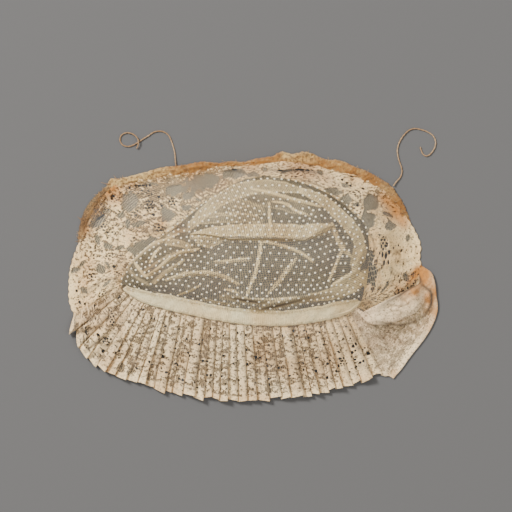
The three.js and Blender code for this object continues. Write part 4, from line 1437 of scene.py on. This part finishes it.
# Painted shade in folds and tears, as lines: places in the picture, half the width in mm and strength
lace_shade_lines = [
    (((120, 232), (118, 243), (122, 256), (126, 263)), 0.7, 0.6),
    (((88.7, 289), (99.3, 283), (112, 279), (121, 281)), 0.8, 0.75),
    (((90.2, 310), (98, 300.5), (107, 293), (116, 287.5)), 0.8, 0.68),
    (((143, 233), (156, 231), (170, 227), (181, 221)), 0.8, 0.68),
    (((136, 199), (141, 195), (150, 190)), 0.5, 0.45),
    (((297.5, 179), (311.8, 183.4), (320.7, 187), (332, 192)), 0.8, 0.68),
    (((367, 230), (373, 243), (374, 256)), 0.9, 0.52),
    (((392, 254), (397, 252), (402, 249)), 0.8, 0.75),
    (((390, 270), (393, 274), (399, 276)), 0.8, 0.75),
    (((80, 238), (86, 226), (92, 214), (103, 203)), 1.6, 0.7),
    (((88, 236), (94, 224), (101, 212), (108, 202)), 1.0, 0.6),
    (((268, 170), (282, 172), (296, 171), (310, 172), (322, 174)), 1.5, 0.8),
    (((222, 171), (232, 171), (243, 172)), 1.3, 0.7),
    (((390, 266), (396, 272), (405, 275), (412, 272)), 0.7, 0.6),
    (((394, 250), (400, 256), (396, 262)), 0.8, 0.5),
    (((420, 279), (410, 285.5), (399, 292.5), (388, 298)), 1.5, 0.65),
]
# Painted shade in small hollows, and brown stains, as soft spots
lace_hollows = [
    (383.5, 240, 2.6, 0.8), (383.5, 246, 2.6, 0.8), (393, 248, 1.5, 0.8), (397, 253, 1.3, 0.8),
    (392, 269, 1.4, 0.8), (403, 276, 1.4, 0.8), (389, 267, 1.2, 0.8), (95, 249, 1.6, 0.8),
    (94, 256, 1.5, 0.8), (114, 266, 1.6, 0.8), (88, 223, 4.5, 0.75), (95, 213, 5.0, 0.8),
    (103, 204, 5.0, 0.75), (84, 232, 3.0, 0.6), (109, 197, 3.5, 0.6), (159, 226, 3.0, 0.5),
]
lace_stains = [
    (82, 228, 9, 1.0), (92, 210, 10, 0.9), (104, 192, 9, 0.7), (113, 186, 9, 0.8), (132, 182, 9, 0.5),
    (120, 198, 8, 0.5), (160, 175, 10, 0.4), (192, 176, 12, 0.5), (163, 224, 6, 0.5), (250, 168, 14, 0.5),
    (300, 168, 20, 0.5), (355, 178, 12, 0.4), (386, 196, 12, 1.0), (397, 212, 11, 0.9), (404, 224, 7, 0.5),
    (90, 262, 9, 0.35), (84, 284, 8, 0.25), (125, 284, 5, 0.35), (85, 318, 9, 0.35), (396, 257, 7, 0.4),
    (414, 276, 6, 1.0), (409, 283, 5, 0.7), (398, 289, 6, 0.4), (418, 270, 5, 0.9), (388, 240, 9, 0.25),
]


usual_density = 0.5
# How dark the painted shade in small hollows is
hollow_shade_strength = 0.6


def density(points, table):
    """How closely the net is filled with solid work."""
    px, py = in_picture(points[:, 0], points[:, 1])
    total = np.full(len(points), usual_density)
    for x, y, radius, strength in table:
        total += strength * np.exp(-((px - x) ** 2 + (py - y) ** 2) / radius**2)
    return np.clip(total, 0, 1)


def lace_numbers(spots, points):
    """The lace's stains, how much of it is worked, with a solid border, and its painted shade."""
    u, v = spots.T
    _, share, outer, inner = lace_edges(u)
    off = v * np.linalg.norm(outer[:, :2] - inner[:, :2], axis=1)
    border = (1 - smoothstep(off, 2.5, 4)) * (1 - share)
    darkening = shade_lines(points[:, 0], points[:, 1], lace_shade_lines)
    return {
        "stain": soft_spots(points, lace_stains),
        "worked": np.maximum(density(points, lace_density), border),
        "grime": np.maximum(darkening, hollow_shade_strength * soft_spots(points, lace_hollows)),
    }


# %% The lace
lace_columns, lace_rows = 640, 72
lace_cloth_mm = 0.4
lace_finishes = [lace_finish, lace_net_finish]
lace = cloth(
    "side_lace",
    lace_columns,
    lace_rows,
    lace_surface,
    (strip_length, 38.0),
    lace_finishes,
    kinds=lace_sorts,
    extras=lace_numbers,
)
lace_thickness = lace.modifiers.new("thickness", "SOLIDIFY")
lace_thickness.thickness = lace_cloth_mm * mm
lace_thickness.offset = 0
settle(lace, "side_lace", "lace_surround")

# %% [markdown]
# ## Frill
# The frill is the same kind of lace, laid in knife pleats. Across one pleat the cloth climbs to a crest,
# leans a little over the next pleat and turns back under itself, so each pleat shows a dark line at its
# right edge. The pleats at the left open into a fan. One long table would be dull to write, so the pleats'
# widths, reaches and tilts are drawn by chance from a fixed seed, and only the fan's are given.

# %% The pleats
frill_from, frill_to = 13.2, 23.2
frill_stations = even_stations(frill_from, frill_to)
pleat_chance = np.random.default_rng(7)
pleats = 34
pleat_widths = np.concatenate([[1.7, 1.5, 1.35, 1.2, 1.1], pleat_chance.uniform(0.66, 1.2, pleats - 5)])
pleat_starts = np.concatenate([[0], np.cumsum(pleat_widths)]) / pleat_widths.sum()
fan_reach = [-1.0, -1.8, 0.6, 0.8, 0.2]
fan_tilt = [-6.0, -4.5, -1.5, -2.0, -1.6]
pleat_reach = np.concatenate([fan_reach, pleat_chance.uniform(-1.5, 1.3, pleats - 5)])
pleat_tilt = np.concatenate([fan_tilt, pleat_chance.uniform(-2.2, 1.4, pleats - 5)])
pleat_crest = pleat_chance.uniform(0.6, 1.25, pleats)
pleat_lean = pleat_chance.uniform(0.2, 1.6, pleats)
pleat_tone = pleat_chance.uniform(0, 1, pleats)
widest = pleat_widths.max() / pleat_widths.min()
print(pleats, "pleats, the widest", round(float(widest), 1), "times the narrowest")

# %% Across one pleat
# Where each of a pleat's columns lies across it, and how high it stands. Past 1 it is over the next pleat.
pleat_columns = 14
pleat_across = np.array([0, 0.06, 0.16, 0.3, 0.46, 0.62, 0.78, 0.92, 1.02, 1.08, 1.09, 1.06, 1.02, 1.0, 1.0])
pleat_up = np.array([0.0, 0.3, 0.5, 0.62, 0.7, 0.78, 0.88, 0.97, 1.0, 0.9, 0.66, 0.4, 0.2, 0.05, 0.0])


def pleat_place(u):
    """Which pleat a column is in, the share across it on show, and its height."""
    spot = np.clip(u, 0, 1) * pleats
    pleat = np.minimum(pleats - 1, np.floor(spot + 1e-6)).astype(int)
    step = (spot - pleat) * pleat_columns
    across = np.interp(step, np.arange(pleat_columns + 1), pleat_across)
    across = across + np.maximum(across - 1, 0) * (pleat_lean[pleat] - 1)
    rise = np.interp(step, np.arange(pleat_columns + 1), pleat_up)
    return pleat, across, rise


def across_frill(pleat, across):
    """A place across a pleat as a share of the whole frill."""
    return pleat_starts[pleat] + (pleat_starts[pleat + 1] - pleat_starts[pleat]) * across


print("A pleat reaches over the next by up to", round(float(pleat_across.max() - 1), 2), "of its width")

# %% The frill's surface
frill_creases = [
    (((98, 325), (84, 328), (70, 332.4)), 2.8, 0.8, 3.5),
    (((108, 332), (95, 341), (80, 353)), 3.0, 0.8, 3.5),
    (((116, 341), (103, 345), (88, 357)), 2.2, 0.8, 3.5),
    (((97, 306), (92, 316), (84, 322)), 1.6, 2.5, 0.8),
    (((112, 309), (111, 320), (108, 330)), 1.6, 2.5, 0.8),
    (((121, 312), (119, 326), (114, 340)), 1.4, 2.5, 0.8),
]


pleat_drop = 0.3
first_pleat_rise = 1.6
frill_ripples = [(0.3, 9, 31)]
frill_fine_ripples = [(0.12, 3.5, 32)]
frill_waver = (0.5, 22, 33)


def frill_surface(u, v):
    """The frill's points. v is 0 at the hem and 1 at the band."""
    pleat, across, rise = pleat_place(u)
    place = across_frill(pleat, across)
    past_end = frill_to + (place - 1) * (frill_to - frill_from)
    station = np.where(place > 1, past_end, frill_stations(np.clip(place, 0, 1)))
    reach = 1.0 - pleat_reach[pleat] + pleat_tilt[pleat] * (across - 0.5)
    free = (1 - v) ** 2
    outer = ring_at(hem_points, station) + ring_inward(hem_points, station) * (reach * free)[:, None]
    inner = ring_at(seam_points, station)
    point = outer * (1 - v)[:, None] + inner * v[:, None]
    point[:, 2] = outer[:, 2] + (inner[:, 2] - pleat_rise * pleat_drop - outer[:, 2]) * climb(v)
    point[:, 2] += pleat_rise * rise * pleat_crest[pleat] * (1 - 0.7 * v)
    point[:, 2] += first_pleat_rise * (1 - smoothstep(place, 0, 0.05)) * smoothstep(v, 0, 0.1)
    x, y = point[:, 0].copy(), point[:, 1].copy()
    point[:, 2] += ripples(x, y, frill_ripples) * smoothstep(v, 0, 0.1) + ripples(x, y, frill_fine_ripples)
    point[:, 2] += creases(x, y, frill_creases) * smoothstep(v, 0, 0.05)
    point[:, 0] += ripples(x, y, [frill_waver]) * (1 - v)
    return point


print("The fan's first pleat reaches", round(float(pleat_reach[0]), 1), "mm past the hem")

# %% The frill's holes
frill_flowers = [(343.5, 362, 4, 5), (108, 340, 5, 4), (112, 318, 3, 8)]
frill_flower_pitch_px = (3.0, 2.8)
frill_arc_mm = 292
hole_pitch_across, hole_pitch_along = 3.6, 5.1
hole_stagger_mm = 2.1
hole_patches_from = 0.3


def frill_sorts(u, v):
    """Rows of small holes across the pleats, a solid border and a few eyelet flowers."""
    pleat, across, _ = pleat_place(u)
    station = frill_stations(across_frill(pleat, np.clip(across, 0, 1)))
    outer, inner = ring_at(hem_points, station), ring_at(seam_points, station)
    depth = np.linalg.norm(outer[:, :2] - inner[:, :2], axis=1)
    point = outer * (1 - v)[:, None] + inner * v[:, None]
    px, py = in_picture(point[:, 0], point[:, 1])
    off = v * depth
    wide = (pleat_starts[pleat + 1] - pleat_starts[pleat]) * frill_arc_mm * across
    sort = np.zeros(len(u))
    row_off = off + hole_stagger_mm * (pleat % 3) + 0.8 * crinkle(px, py, 8, 42)
    sideways = (wide + 0.7 * (np.round(off / 4.3) % 2)) % hole_pitch_across - hole_pitch_across / 2
    hole = np.hypot(sideways, row_off % hole_pitch_along - 2.5)
    often = crinkle(px, py, 9, 41) + 0.3 * smoothstep(px, 325, 345)
    size = 0.55 + 0.5 * smoothstep(often, hole_patches_from, 0.9)
    sort[(hole < size) & (often > hole_patches_from) & (off > 8) & (off < depth - 4)] = -1
    flower, _ = ovals(px, py, [(*row, 0) for row in frill_flowers])
    sort[flower < 1] = 0
    sort[(flower < 1) & (lattice(px, py, *frill_flower_pitch_px) < flower_hole)] = -1
    return sort


# %% The frill's painted shade, dust and stains
frill_stains = [(95, 330, 8, 0.3), (185, 360, 12, 0.3), (260, 350, 14, 0.25), (325, 350, 10, 0.2)]
# Lines of painted shade in the fan's folds and between pleats
frill_shade_lines = [
    (((98, 328), (84, 331), (72, 335)), 0.9, 0.75),
    (((108, 335), (95, 344), (82, 355)), 0.9, 0.75),
    (((113, 345), (101, 352), (91, 358)), 0.8, 0.6),
    (((123, 333), (118, 344), (114.7, 353.5)), 0.8, 0.6),
    (((153, 322), (151, 334), (147, 346)), 0.7, 0.75),
    (((225, 306), (225, 318), (224, 326)), 0.7, 0.75),
    (((341, 318), (352, 334), (359, 346)), 0.9, 0.75),
    (((337, 322), (345, 336), (349, 352)), 0.7, 0.6),
]
# Painted shade in small hollows
frill_hollows = [
    (97, 309, 1.6, 1.0), (111, 318, 3, 0.6), (119.5, 320, 2.5, 0.6), (355, 340, 3.5, 1.0),
    (353, 333, 2, 1.0), (359, 347, 3, 1.0), (349, 327, 2.2, 0.8), (360, 366, 3.5, 0.8),
    (343, 344, 2.2, 0.7), (98, 340, 2, 0.5), (122, 346, 2.2, 0.5),
]
# The painted shade under each pleat's overlapping edge, and the dust along the hem
pleat_shadow = 0.36
hem_dust = 0.34


def frill_numbers(spots, points):
    """Stains by pleat, the solid border with patches of work above it, painted shade in folds, hollows and
    under each pleat, and dust at the hem.
    """
    u, v = spots.T
    pleat, across, _ = pleat_place(u)
    x, y = points[:, 0], points[:, 1]
    stain = 0.3 * pleat_tone[pleat] * smoothstep(v, 0.1, 0.5)
    border = 1 - smoothstep(v, 0.045, 0.075)
    patchy = 0.52 + 0.26 * crinkle(x, y, 11, 43) + 0.26 * (0.5 - pleat_tone[pleat])
    patchy += 0.14 * smoothstep(x, 30, 60)
    under_pleat = pleat_lean[pleat] * smoothstep(across, 0.66, 1.0) * smoothstep(v, 0.02, 0.12)
    at_hem = np.clip(crinkle(x, y, 4, 44), 0, 1) * (1 - smoothstep(v, 0.1, 0.25))
    darkening = [
        shade_lines(x, y, frill_shade_lines),
        hollow_shade_strength * soft_spots(points, frill_hollows),
        pleat_shadow * under_pleat,
        hem_dust * at_hem,
    ]
    return {
        "stain": np.clip(stain + soft_spots(points, frill_stains), 0, 1),
        "worked": np.clip(np.maximum(patchy, 1.3 * border), 0, 1.2),
        "grime": np.maximum.reduce(darkening),
    }


print(len(frill_shade_lines), "dark lines and", len(frill_hollows), "hollows in the frill")

# %% The frill
frill_rows = 84
column_mm = 0.85
frill_flat = (pleats * pleat_columns * column_mm, 62.0)
frill = cloth(
    "front_frill_lace",
    pleats * pleat_columns,
    frill_rows,
    frill_surface,
    frill_flat,
    [frill_finish],
    kinds=frill_sorts,
    extras=frill_numbers,
)
settle(frill, "frill_lace", "front_frill")

# %% [markdown]
# ## Ear
# The ear is thin muslin, turned back over itself at the lower right, with a narrow rolled hem. The tuck is
# followed along the cloth: it goes back under itself, over, and down again. The turned-back flap ends along
# a slanting edge, and the lace comes out from under it.

# %% The ear's shape
ear_from, ear_to = 23.14, 26.25
# A share of the way along the ear, the cloth's shift across the picture and its rise, as shares
ear_tuck = np.array(
    [
        (0, 0, 0), (0.4, 0, 0), (0.48, 0.55, 0), (0.51, 0.5, 0.3), (0.54, -0.8, 0.5), (0.57, -1, 0.8),
        (0.61, -0.7, 1), (0.73, 0, 0.9), (1, 0, 0.2),
    ]
)
ear_tuck_rise = 6.0
ear_tuck_reach = 7.0
ear_lean = 0.4
ear_roll_rise = 1.8
ear_lift = 0.5
ear_end_rise = 0.9
ear_ripples = [(0.5, 12, 51), (0.3, 5, 52), (0.14, 2.4, 53)]
ear_bulges = [
    (25.72, 0.26, 5.0), (25.45, 0.15, 1.0), (24.0, 0.05, 1.2), (24.4, 0.22, -1.8), (23.7, 0.2, -1.4),
]
ear_creases = [
    (((418, 287), (398, 297), (375, 307), (356, 315)), 1.8, 3, 0.8),
    (((417, 266), (411, 272), (406.6, 279)), 1.6, 2, 0.8),
    (((380, 300), (392, 304), (404, 304), (416, 296)), 1.0, 2.5, 0.9),
    (((384, 312), (396, 309), (408, 312), (416, 306)), 0.9, 2, 0.9),
    (((398, 299), (402, 306), (410, 309)), 0.8, 1.8, 0.8),
    (((366, 330), (380, 342), (388, 356)), 1.2, 3, 1.0),
    (((420, 330), (404, 342), (394, 358)), 1.2, 3, 1.0),
    (((392, 330), (392, 345), (388, 362)), 0.9, 2.5, 1.0),
    (((376, 326), (384, 334), (398, 332), (410, 326)), 0.8, 2, 0.9),
    (((372, 345), (382, 352), (392, 350)), 0.7, 2, 0.9),
    (((424, 276), (428, 286), (430, 300), (430, 312)), 1.4, 1.6, 0.9),
]
# The flap's edge in the picture, from its hem to its point
flap_edge = ((424, 280.5), (352, 316.5))
flap_slope = (flap_edge[1][1] - flap_edge[0][1]) / (flap_edge[0][0] - flap_edge[1][0])
flap_hem = 419.0
flap_from = 0.62
print(len(ear_creases), "creases in the ear, and a flap edge with a slope of", flap_slope)


# %% The ear's surface
def ear_surface(u, v):
    """The ear's points. v is 0 at the hem, and u runs from the frill to the lace."""
    shift = np.interp(u, ear_tuck[:, 0], ear_tuck[:, 1])
    rise = np.interp(u, ear_tuck[:, 0], ear_tuck[:, 2])
    held = smoothstep(v, 0.1, 0.3) * (1 - smoothstep(v, 0.75, 1))
    leant = u + ear_lean * (0.5 - v) * 4 * u * (1 - u)
    station = ear_from + (ear_to - ear_from) * leant
    outer, inner = ring_at(hem_points, station), ring_at(seam_points, station)
    outer = bulged(outer, station, ear_bulges)
    point = outer * (1 - v)[:, None] + inner * v[:, None]
    point[:, 2] = outer[:, 2] + (inner[:, 2] - outer[:, 2]) * climb(v) + ear_tuck_rise * rise * held
    point[:, 1] += ear_tuck_reach * shift * held
    point[:, 2] += ear_end_rise * smoothstep(u, 0.85, 0.95) + ear_lift
    point[:, 2] += ear_roll_rise * smoothstep(u, 0.3, 0.6) * np.exp(-(((v - 0.05) / 0.06) ** 2))
    x, y = point[:, 0].copy(), point[:, 1].copy()
    rumpled = ripples(x, y, ear_ripples) + creases(x, y, ear_creases)
    point[:, 2] += rumpled * smoothstep(v, 0, 0.06)
    return point


def ear_sorts(u, v):
    """-1 past the flap's slanting edge, and 0 elsewhere."""
    point = ear_surface(u, v)
    px, py = in_picture(point[:, 0], point[:, 1])
    above = (flap_edge[0][1] + (flap_edge[0][0] - px) * flap_slope) - py
    return np.where((u > flap_from) & (above > 0) & (px < flap_hem), -1, 0)


# %% The ear's painted shade and stains
# Painted shade in hollows under the flap and in its folds
ear_hollows = [
    (419.5, 282, 2.4, 1.0), (416, 284.5, 1.6, 0.6), (375, 326, 4, 0.45), (388, 327, 5, 0.4),
    (402, 326, 4, 0.35), (413, 322, 3, 0.35), (383, 338, 6, 0.36), (386, 348, 5, 0.22),
]
ear_stains = [
    (425, 275, 10, 1.0), (416, 269, 8, 1.0), (433, 292, 9, 1.0), (417, 282, 7, 1.0), (437, 312, 7, 0.8),
    (410, 280, 6, 0.7), (404, 293, 9, 0.6), (414, 290, 7, 0.4), (416, 292, 5, 0.6), (433, 330, 8, 0.5),
    (394, 374, 6, 0.5), (428, 300, 6, 0.8), (426, 311, 5, 0.4),
]
# Lines of painted shade under the flap's edges and along the rolled hem
ear_shade_lines = [
    (((422, 281), (417, 284), (408, 289.5), (398, 296), (388, 301), (378, 306)), 1.3, 0.95),
    (((417, 266), (418.5, 275), (422, 283)), 1.0, 0.95),
    (((370.6, 321), (384.6, 322.5), (398, 325), (413, 322), (423, 317)), 1.1, 0.75),
    (((419, 283), (424, 286.5), (430.5, 292), (431, 303), (425, 315), (418, 320)), 1.4, 1.0),
    (((387, 372), (391, 366), (396, 364)), 0.9, 0.5),
    (((356, 315), (366, 312), (374, 309)), 0.8, 0.4),
]
ear_hollow_shade_strength = 0.9


def ear_numbers(spots, points):
    """The muslin is closed where it lies double: in the turned-back part and the hem. It has stains, and
    painted shade under the flap, in its creases and hollows.
    """
    u, v = spots.T
    x, y = points[:, 0], points[:, 1]
    turned_back = smoothstep(u, 0.52, 0.56)
    hem = 1 - smoothstep(v, 0.05, 0.08)
    patchy = 0.15 * crinkle(x, y, 7, 54)
    darkening = [
        shade_lines(x, y, ear_shade_lines),
        crease_shade(x, y, ear_creases),
        ear_hollow_shade_strength * soft_spots(points, ear_hollows),
    ]
    return {
        "stain": soft_spots(points, ear_stains),
        "doubled": np.clip(0.6 * turned_back + hem + patchy, 0, 1),
        "worked": np.clip(0.45 + 0.5 * turned_back + hem + 2 * patchy, 0, 1.2),
        "grime": np.maximum.reduce(darkening),
    }


print(len(ear_shade_lines), "dark lines and", len(ear_stains), "stains on the ear")

# %% The ear
ear_columns, ear_rows = 170, 84
ear_cloth_mm = 0.3
ear = cloth(
    "muslin_turnback",
    ear_columns,
    ear_rows,
    ear_surface,
    (130.0, 62.0),
    [muslin_finish],
    kinds=ear_sorts,
    extras=ear_numbers,
    rounding=4,
)
ear_thickness = ear.modifiers.new("thickness", "SOLIDIFY")
ear_thickness.thickness = ear_cloth_mm * mm
ear_thickness.offset = 0
settle(ear, "muslin", "muslin_ear")


# %% [markdown]
# ## Casing
# Along the back the lace's edge is rolled over a drawstring and sewn down. The roll is a flat oval section,
# and it is the most stained part of the cap. Its two edges were read in the picture, so that it swells,
# narrows and bends where the real one does, and finer ripples crumple it.

# %% The casing's rows
# Places round the flat oval section: out is -0.5 at its inner side and 0.5 at its outer side, and up is 0
# on the lace and 1 at the top
roll_out = np.array([0.42, -0.42, -0.5, -0.44, -0.2, 0.12, 0.4, 0.5, 0.42])
roll_up = np.array([0, 0, 0.3, 0.66, 0.94, 1, 0.74, 0.3, 0])
# The roll from its torn left end to its right end: its outer edge and its inner edge in the picture, and
# its height in millimetres
casing_rows = np.array(
    [
        (77.6, 239, 79.4, 240, 0.6), (79, 229.5, 83, 231, 1.0), (82, 217.5, 86.4, 219.8, 1.2),
        (86.6, 207, 91.2, 210, 1.2), (94, 197.5, 98.4, 201.4, 1.2), (102.2, 189.8, 106.4, 194.6, 1.3),
        (107, 185.6, 113, 191, 1.8), (110, 179.6, 117, 187.5, 2.6), (121, 178.3, 127, 184.6, 2.8),
        (134.5, 175.2, 140, 182.6, 2.8), (148, 171.5, 153, 179.6, 2.8), (160.4, 167.8, 166, 177.5, 2.8),
        (176.4, 166, 179, 176.5, 3.2), (189.8, 164.2, 192.5, 174.5, 3.2), (201.4, 162, 206, 171.5, 3.2),
        (221, 162.9, 222, 168.6, 2.8), (230, 161.5, 231.5, 167.2, 2.8), (245, 162, 246, 168, 2.8),
        (256, 158.8, 260, 168.4, 3.4), (266, 157.2, 269, 167.4, 3.4), (274, 155.7, 277, 166.2, 3.6),
        (281, 152, 285, 165, 4.0), (292, 154, 294, 166.2, 4.2), (304.6, 152, 306, 166, 4.2),
        (313.6, 154, 314, 165.8, 4.0), (321, 158, 321, 169.5, 3.4), (330, 159.9, 329, 171.5, 3.4),
        (342, 161, 340, 173.4, 3.4), (355.5, 167.3, 351, 175.5, 3.2), (365, 170.4, 360, 180, 3.2),
        (378, 177.6, 369, 187, 3.2), (390.6, 185.8, 379.5, 195, 3.0), (399.6, 197.6, 389.5, 204, 2.6),
        (405.8, 209.4, 397.5, 214, 1.8), (410, 221, 405, 224, 0.8),
    ]
)
casing_samples = 900
casing_line = smooth_curve(casing_rows, np.linspace(0, len(casing_rows) - 1, casing_samples), False)
casing_run = np.hypot(*np.diff(casing_line[:, :2] + casing_line[:, 2:4], axis=0).T) / 2 * pixel_mm
casing_run = np.concatenate([[0], np.cumsum(casing_run)])
casing_length = casing_run[-1]
print("The casing is", round(casing_length, 1), "mm long")

# %% The casing's surface
ridge_rise = 0.12
ridge_count = 2.2
roll_swell_mm = 0.35
roll_ripples = [(0.22, 7, 62), (0.12, 2.6, 63)]
edge_ripples = [(0.28, 3.4, 64), (0.2, 1.5, 65)]


def casing_surface(u, v):
    """The roll's points. u is 0 at its torn left end, and v goes once round it."""
    row = np.column_stack([np.interp(u * casing_length, casing_run, column) for column in casing_line.T])
    corners = np.arange(len(roll_out))
    out = np.interp(corners[-1] * v, corners, roll_out)
    rise = np.interp(corners[-1] * v, corners, roll_up)
    outer = np.column_stack(on_plan(row[:, 0], row[:, 1]))
    inner = np.column_stack(on_plan(row[:, 2], row[:, 3]))
    flat = inner + (outer - inner) * (out + 0.5)[:, None]
    x, y = flat.T
    along = u * casing_length
    ridges = ridge_rise * np.sin(2 * np.pi * (ridge_count * out + 0.9 * crinkle(along, 0 * along, 26, 66)))
    crumple = 1 + ridges + ripples(x, y, roll_ripples)
    ragged = ripples(x, y, edge_ripples) * np.abs(out) * 2
    across = (outer - inner) / np.linalg.norm(outer - inner, axis=1, keepdims=True)
    flat = flat + across * (ragged + roll_swell_mm * out)[:, None]
    return np.column_stack([flat, rise * row[:, 4] * crumple])


# %% The casing's dust, painted shade and stains
casing_clean = [
    (296, 157, 9, 1.0), (308, 158, 8, 0.9), (285, 157, 6, 0.6), (150, 171, 8, 0.3), (362, 171, 5, 0.4),
    (405, 217, 6, 0.6),
]
# Painted shade in dark hollows of the roll, as soft spots
casing_holes = [
    (184.5, 168.4, 1.8, 1), (385, 194.5, 2.2, 1), (357, 175, 2, 0.8), (334, 169, 2, 0.6),
    (81, 229, 2, 0.9), (84, 219, 2.2, 1), (89, 209, 2.4, 1), (96, 200, 2.4, 1), (104, 192, 2, 0.8),
]

torn_until_px = (100, 114)
most_dust = 0.85


def casing_numbers(spots, points):
    """Stains, dust and painted shade. The rolled cloth's dust lies in streaks along it, its torn end is dark,
    and its hollows have painted shade.
    """
    px, py = in_picture(points[:, 0], points[:, 1])
    streaks = crinkle(px * 0.35, py, 3.2, 61) + 0.5 * crinkle(px, py, 4, 67)
    torn = 1 - smoothstep(px, *torn_until_px)
    stain = 0.2 + 0.75 * smoothstep(px, 150, 182) + 0.3 * smoothstep(px, 350, 375)
    stain += 0.8 * torn * smoothstep(py, 204, 226)
    darkening = 0.42 * smoothstep(streaks, 0.3, 1.0) + 0.85 * torn + 0.16 * smoothstep(px, 350, 380)
    darkening += hollow_shade_strength * soft_spots(points, casing_holes)
    return {
        "stain": np.clip(stain - soft_spots(points, casing_clean) + 0.25 * streaks, 0, 1),
        "grime": np.clip(darkening, 0, most_dust),
    }


print(len(casing_holes), "dark hollows in the casing")

# %% The casing
casing_columns, casing_rounds = 760, 24
casing = cloth(
    "rolled_casing",
    casing_columns,
    casing_rounds,
    casing_surface,
    None,
    [casing_finish],
    extras=casing_numbers,
    tube=True,
)
settle(casing, "stained_casing", "back_casing")

# %% [markdown]
# The rolled edge is worn through in places, so loose fibres stand off it. Each is a short bent line, thin
# as one thread of the cloth, and the torn left end has the most. Curves with a bevel make them, because a
# fibre that thin needs only four sides.

# %% Frayed fibres
fray_radius_mm = 0.13
fray_count = 1400
fray_torn_share = 0.35
fray_torn_end = 0.17
fray_torn_growth = 1.5
fray_shortest_mm, fray_longest_mm = 1.2, 3.6
fray_lowest_mm = 0.3
fray_points = 4
fray_chance = np.random.default_rng(77)


def fray_line():
    """One fibre's points: where it leaves the roll, and how it bends away."""
    torn = fray_chance.uniform() < fray_torn_share
    u = fray_chance.uniform(0.0, fray_torn_end) if torn else fray_chance.uniform(fray_torn_end, 1.0)
    v = fray_chance.uniform(0.12, 0.75)
    start = casing_surface(np.array([u]), np.array([v]))[0]
    ahead = casing_surface(np.array([u + surface_step]), np.array([v]))[0]
    along = (ahead - start) / np.linalg.norm(ahead - start)
    across = np.array([-along[1], along[0], 0.0])
    length = fray_chance.uniform(fray_shortest_mm, fray_longest_mm) * (fray_torn_growth if torn else 1.0)
    heading = fray_chance.choice([-1, 1]) * fray_chance.uniform(0.3, 1.0)
    lean = fray_chance.normal(0.0, 0.45) - (0.5 if torn else 0.0)
    bend = fray_chance.normal(0.0, 0.5)
    points = []
    for step in range(fray_points):
        part = step / (fray_points - 1)
        place = start + along * length * heading * part + across * length * (lean * part + bend * part * part)
        place[2] = max(fray_lowest_mm, start[2] + 0.25 * math.sin(math.pi * part) - 0.2 * part)
        points.append(place)
    return np.array(points)


fray_curve = bpy.data.curves.new("frayed_fibres", "CURVE")
fray_curve.dimensions = "3D"
fray_curve.bevel_depth = fray_radius_mm * mm
fray_curve.bevel_resolution = 0
for _ in range(fray_count):
    spline = fray_curve.splines.new("POLY")
    spline.points.add(fray_points - 1)
    for knot, place in zip(spline.points, (fray_line() + plan_shift) * mm):
        knot.co = (*place, 1)
fray_curve.materials.append(fray_finish)
frayed = bpy.data.objects.new("frayed_fibres", fray_curve)
settle(frayed, "stained_casing")
print(fray_count, "fibres of", 2 * fray_radius_mm, "mm")
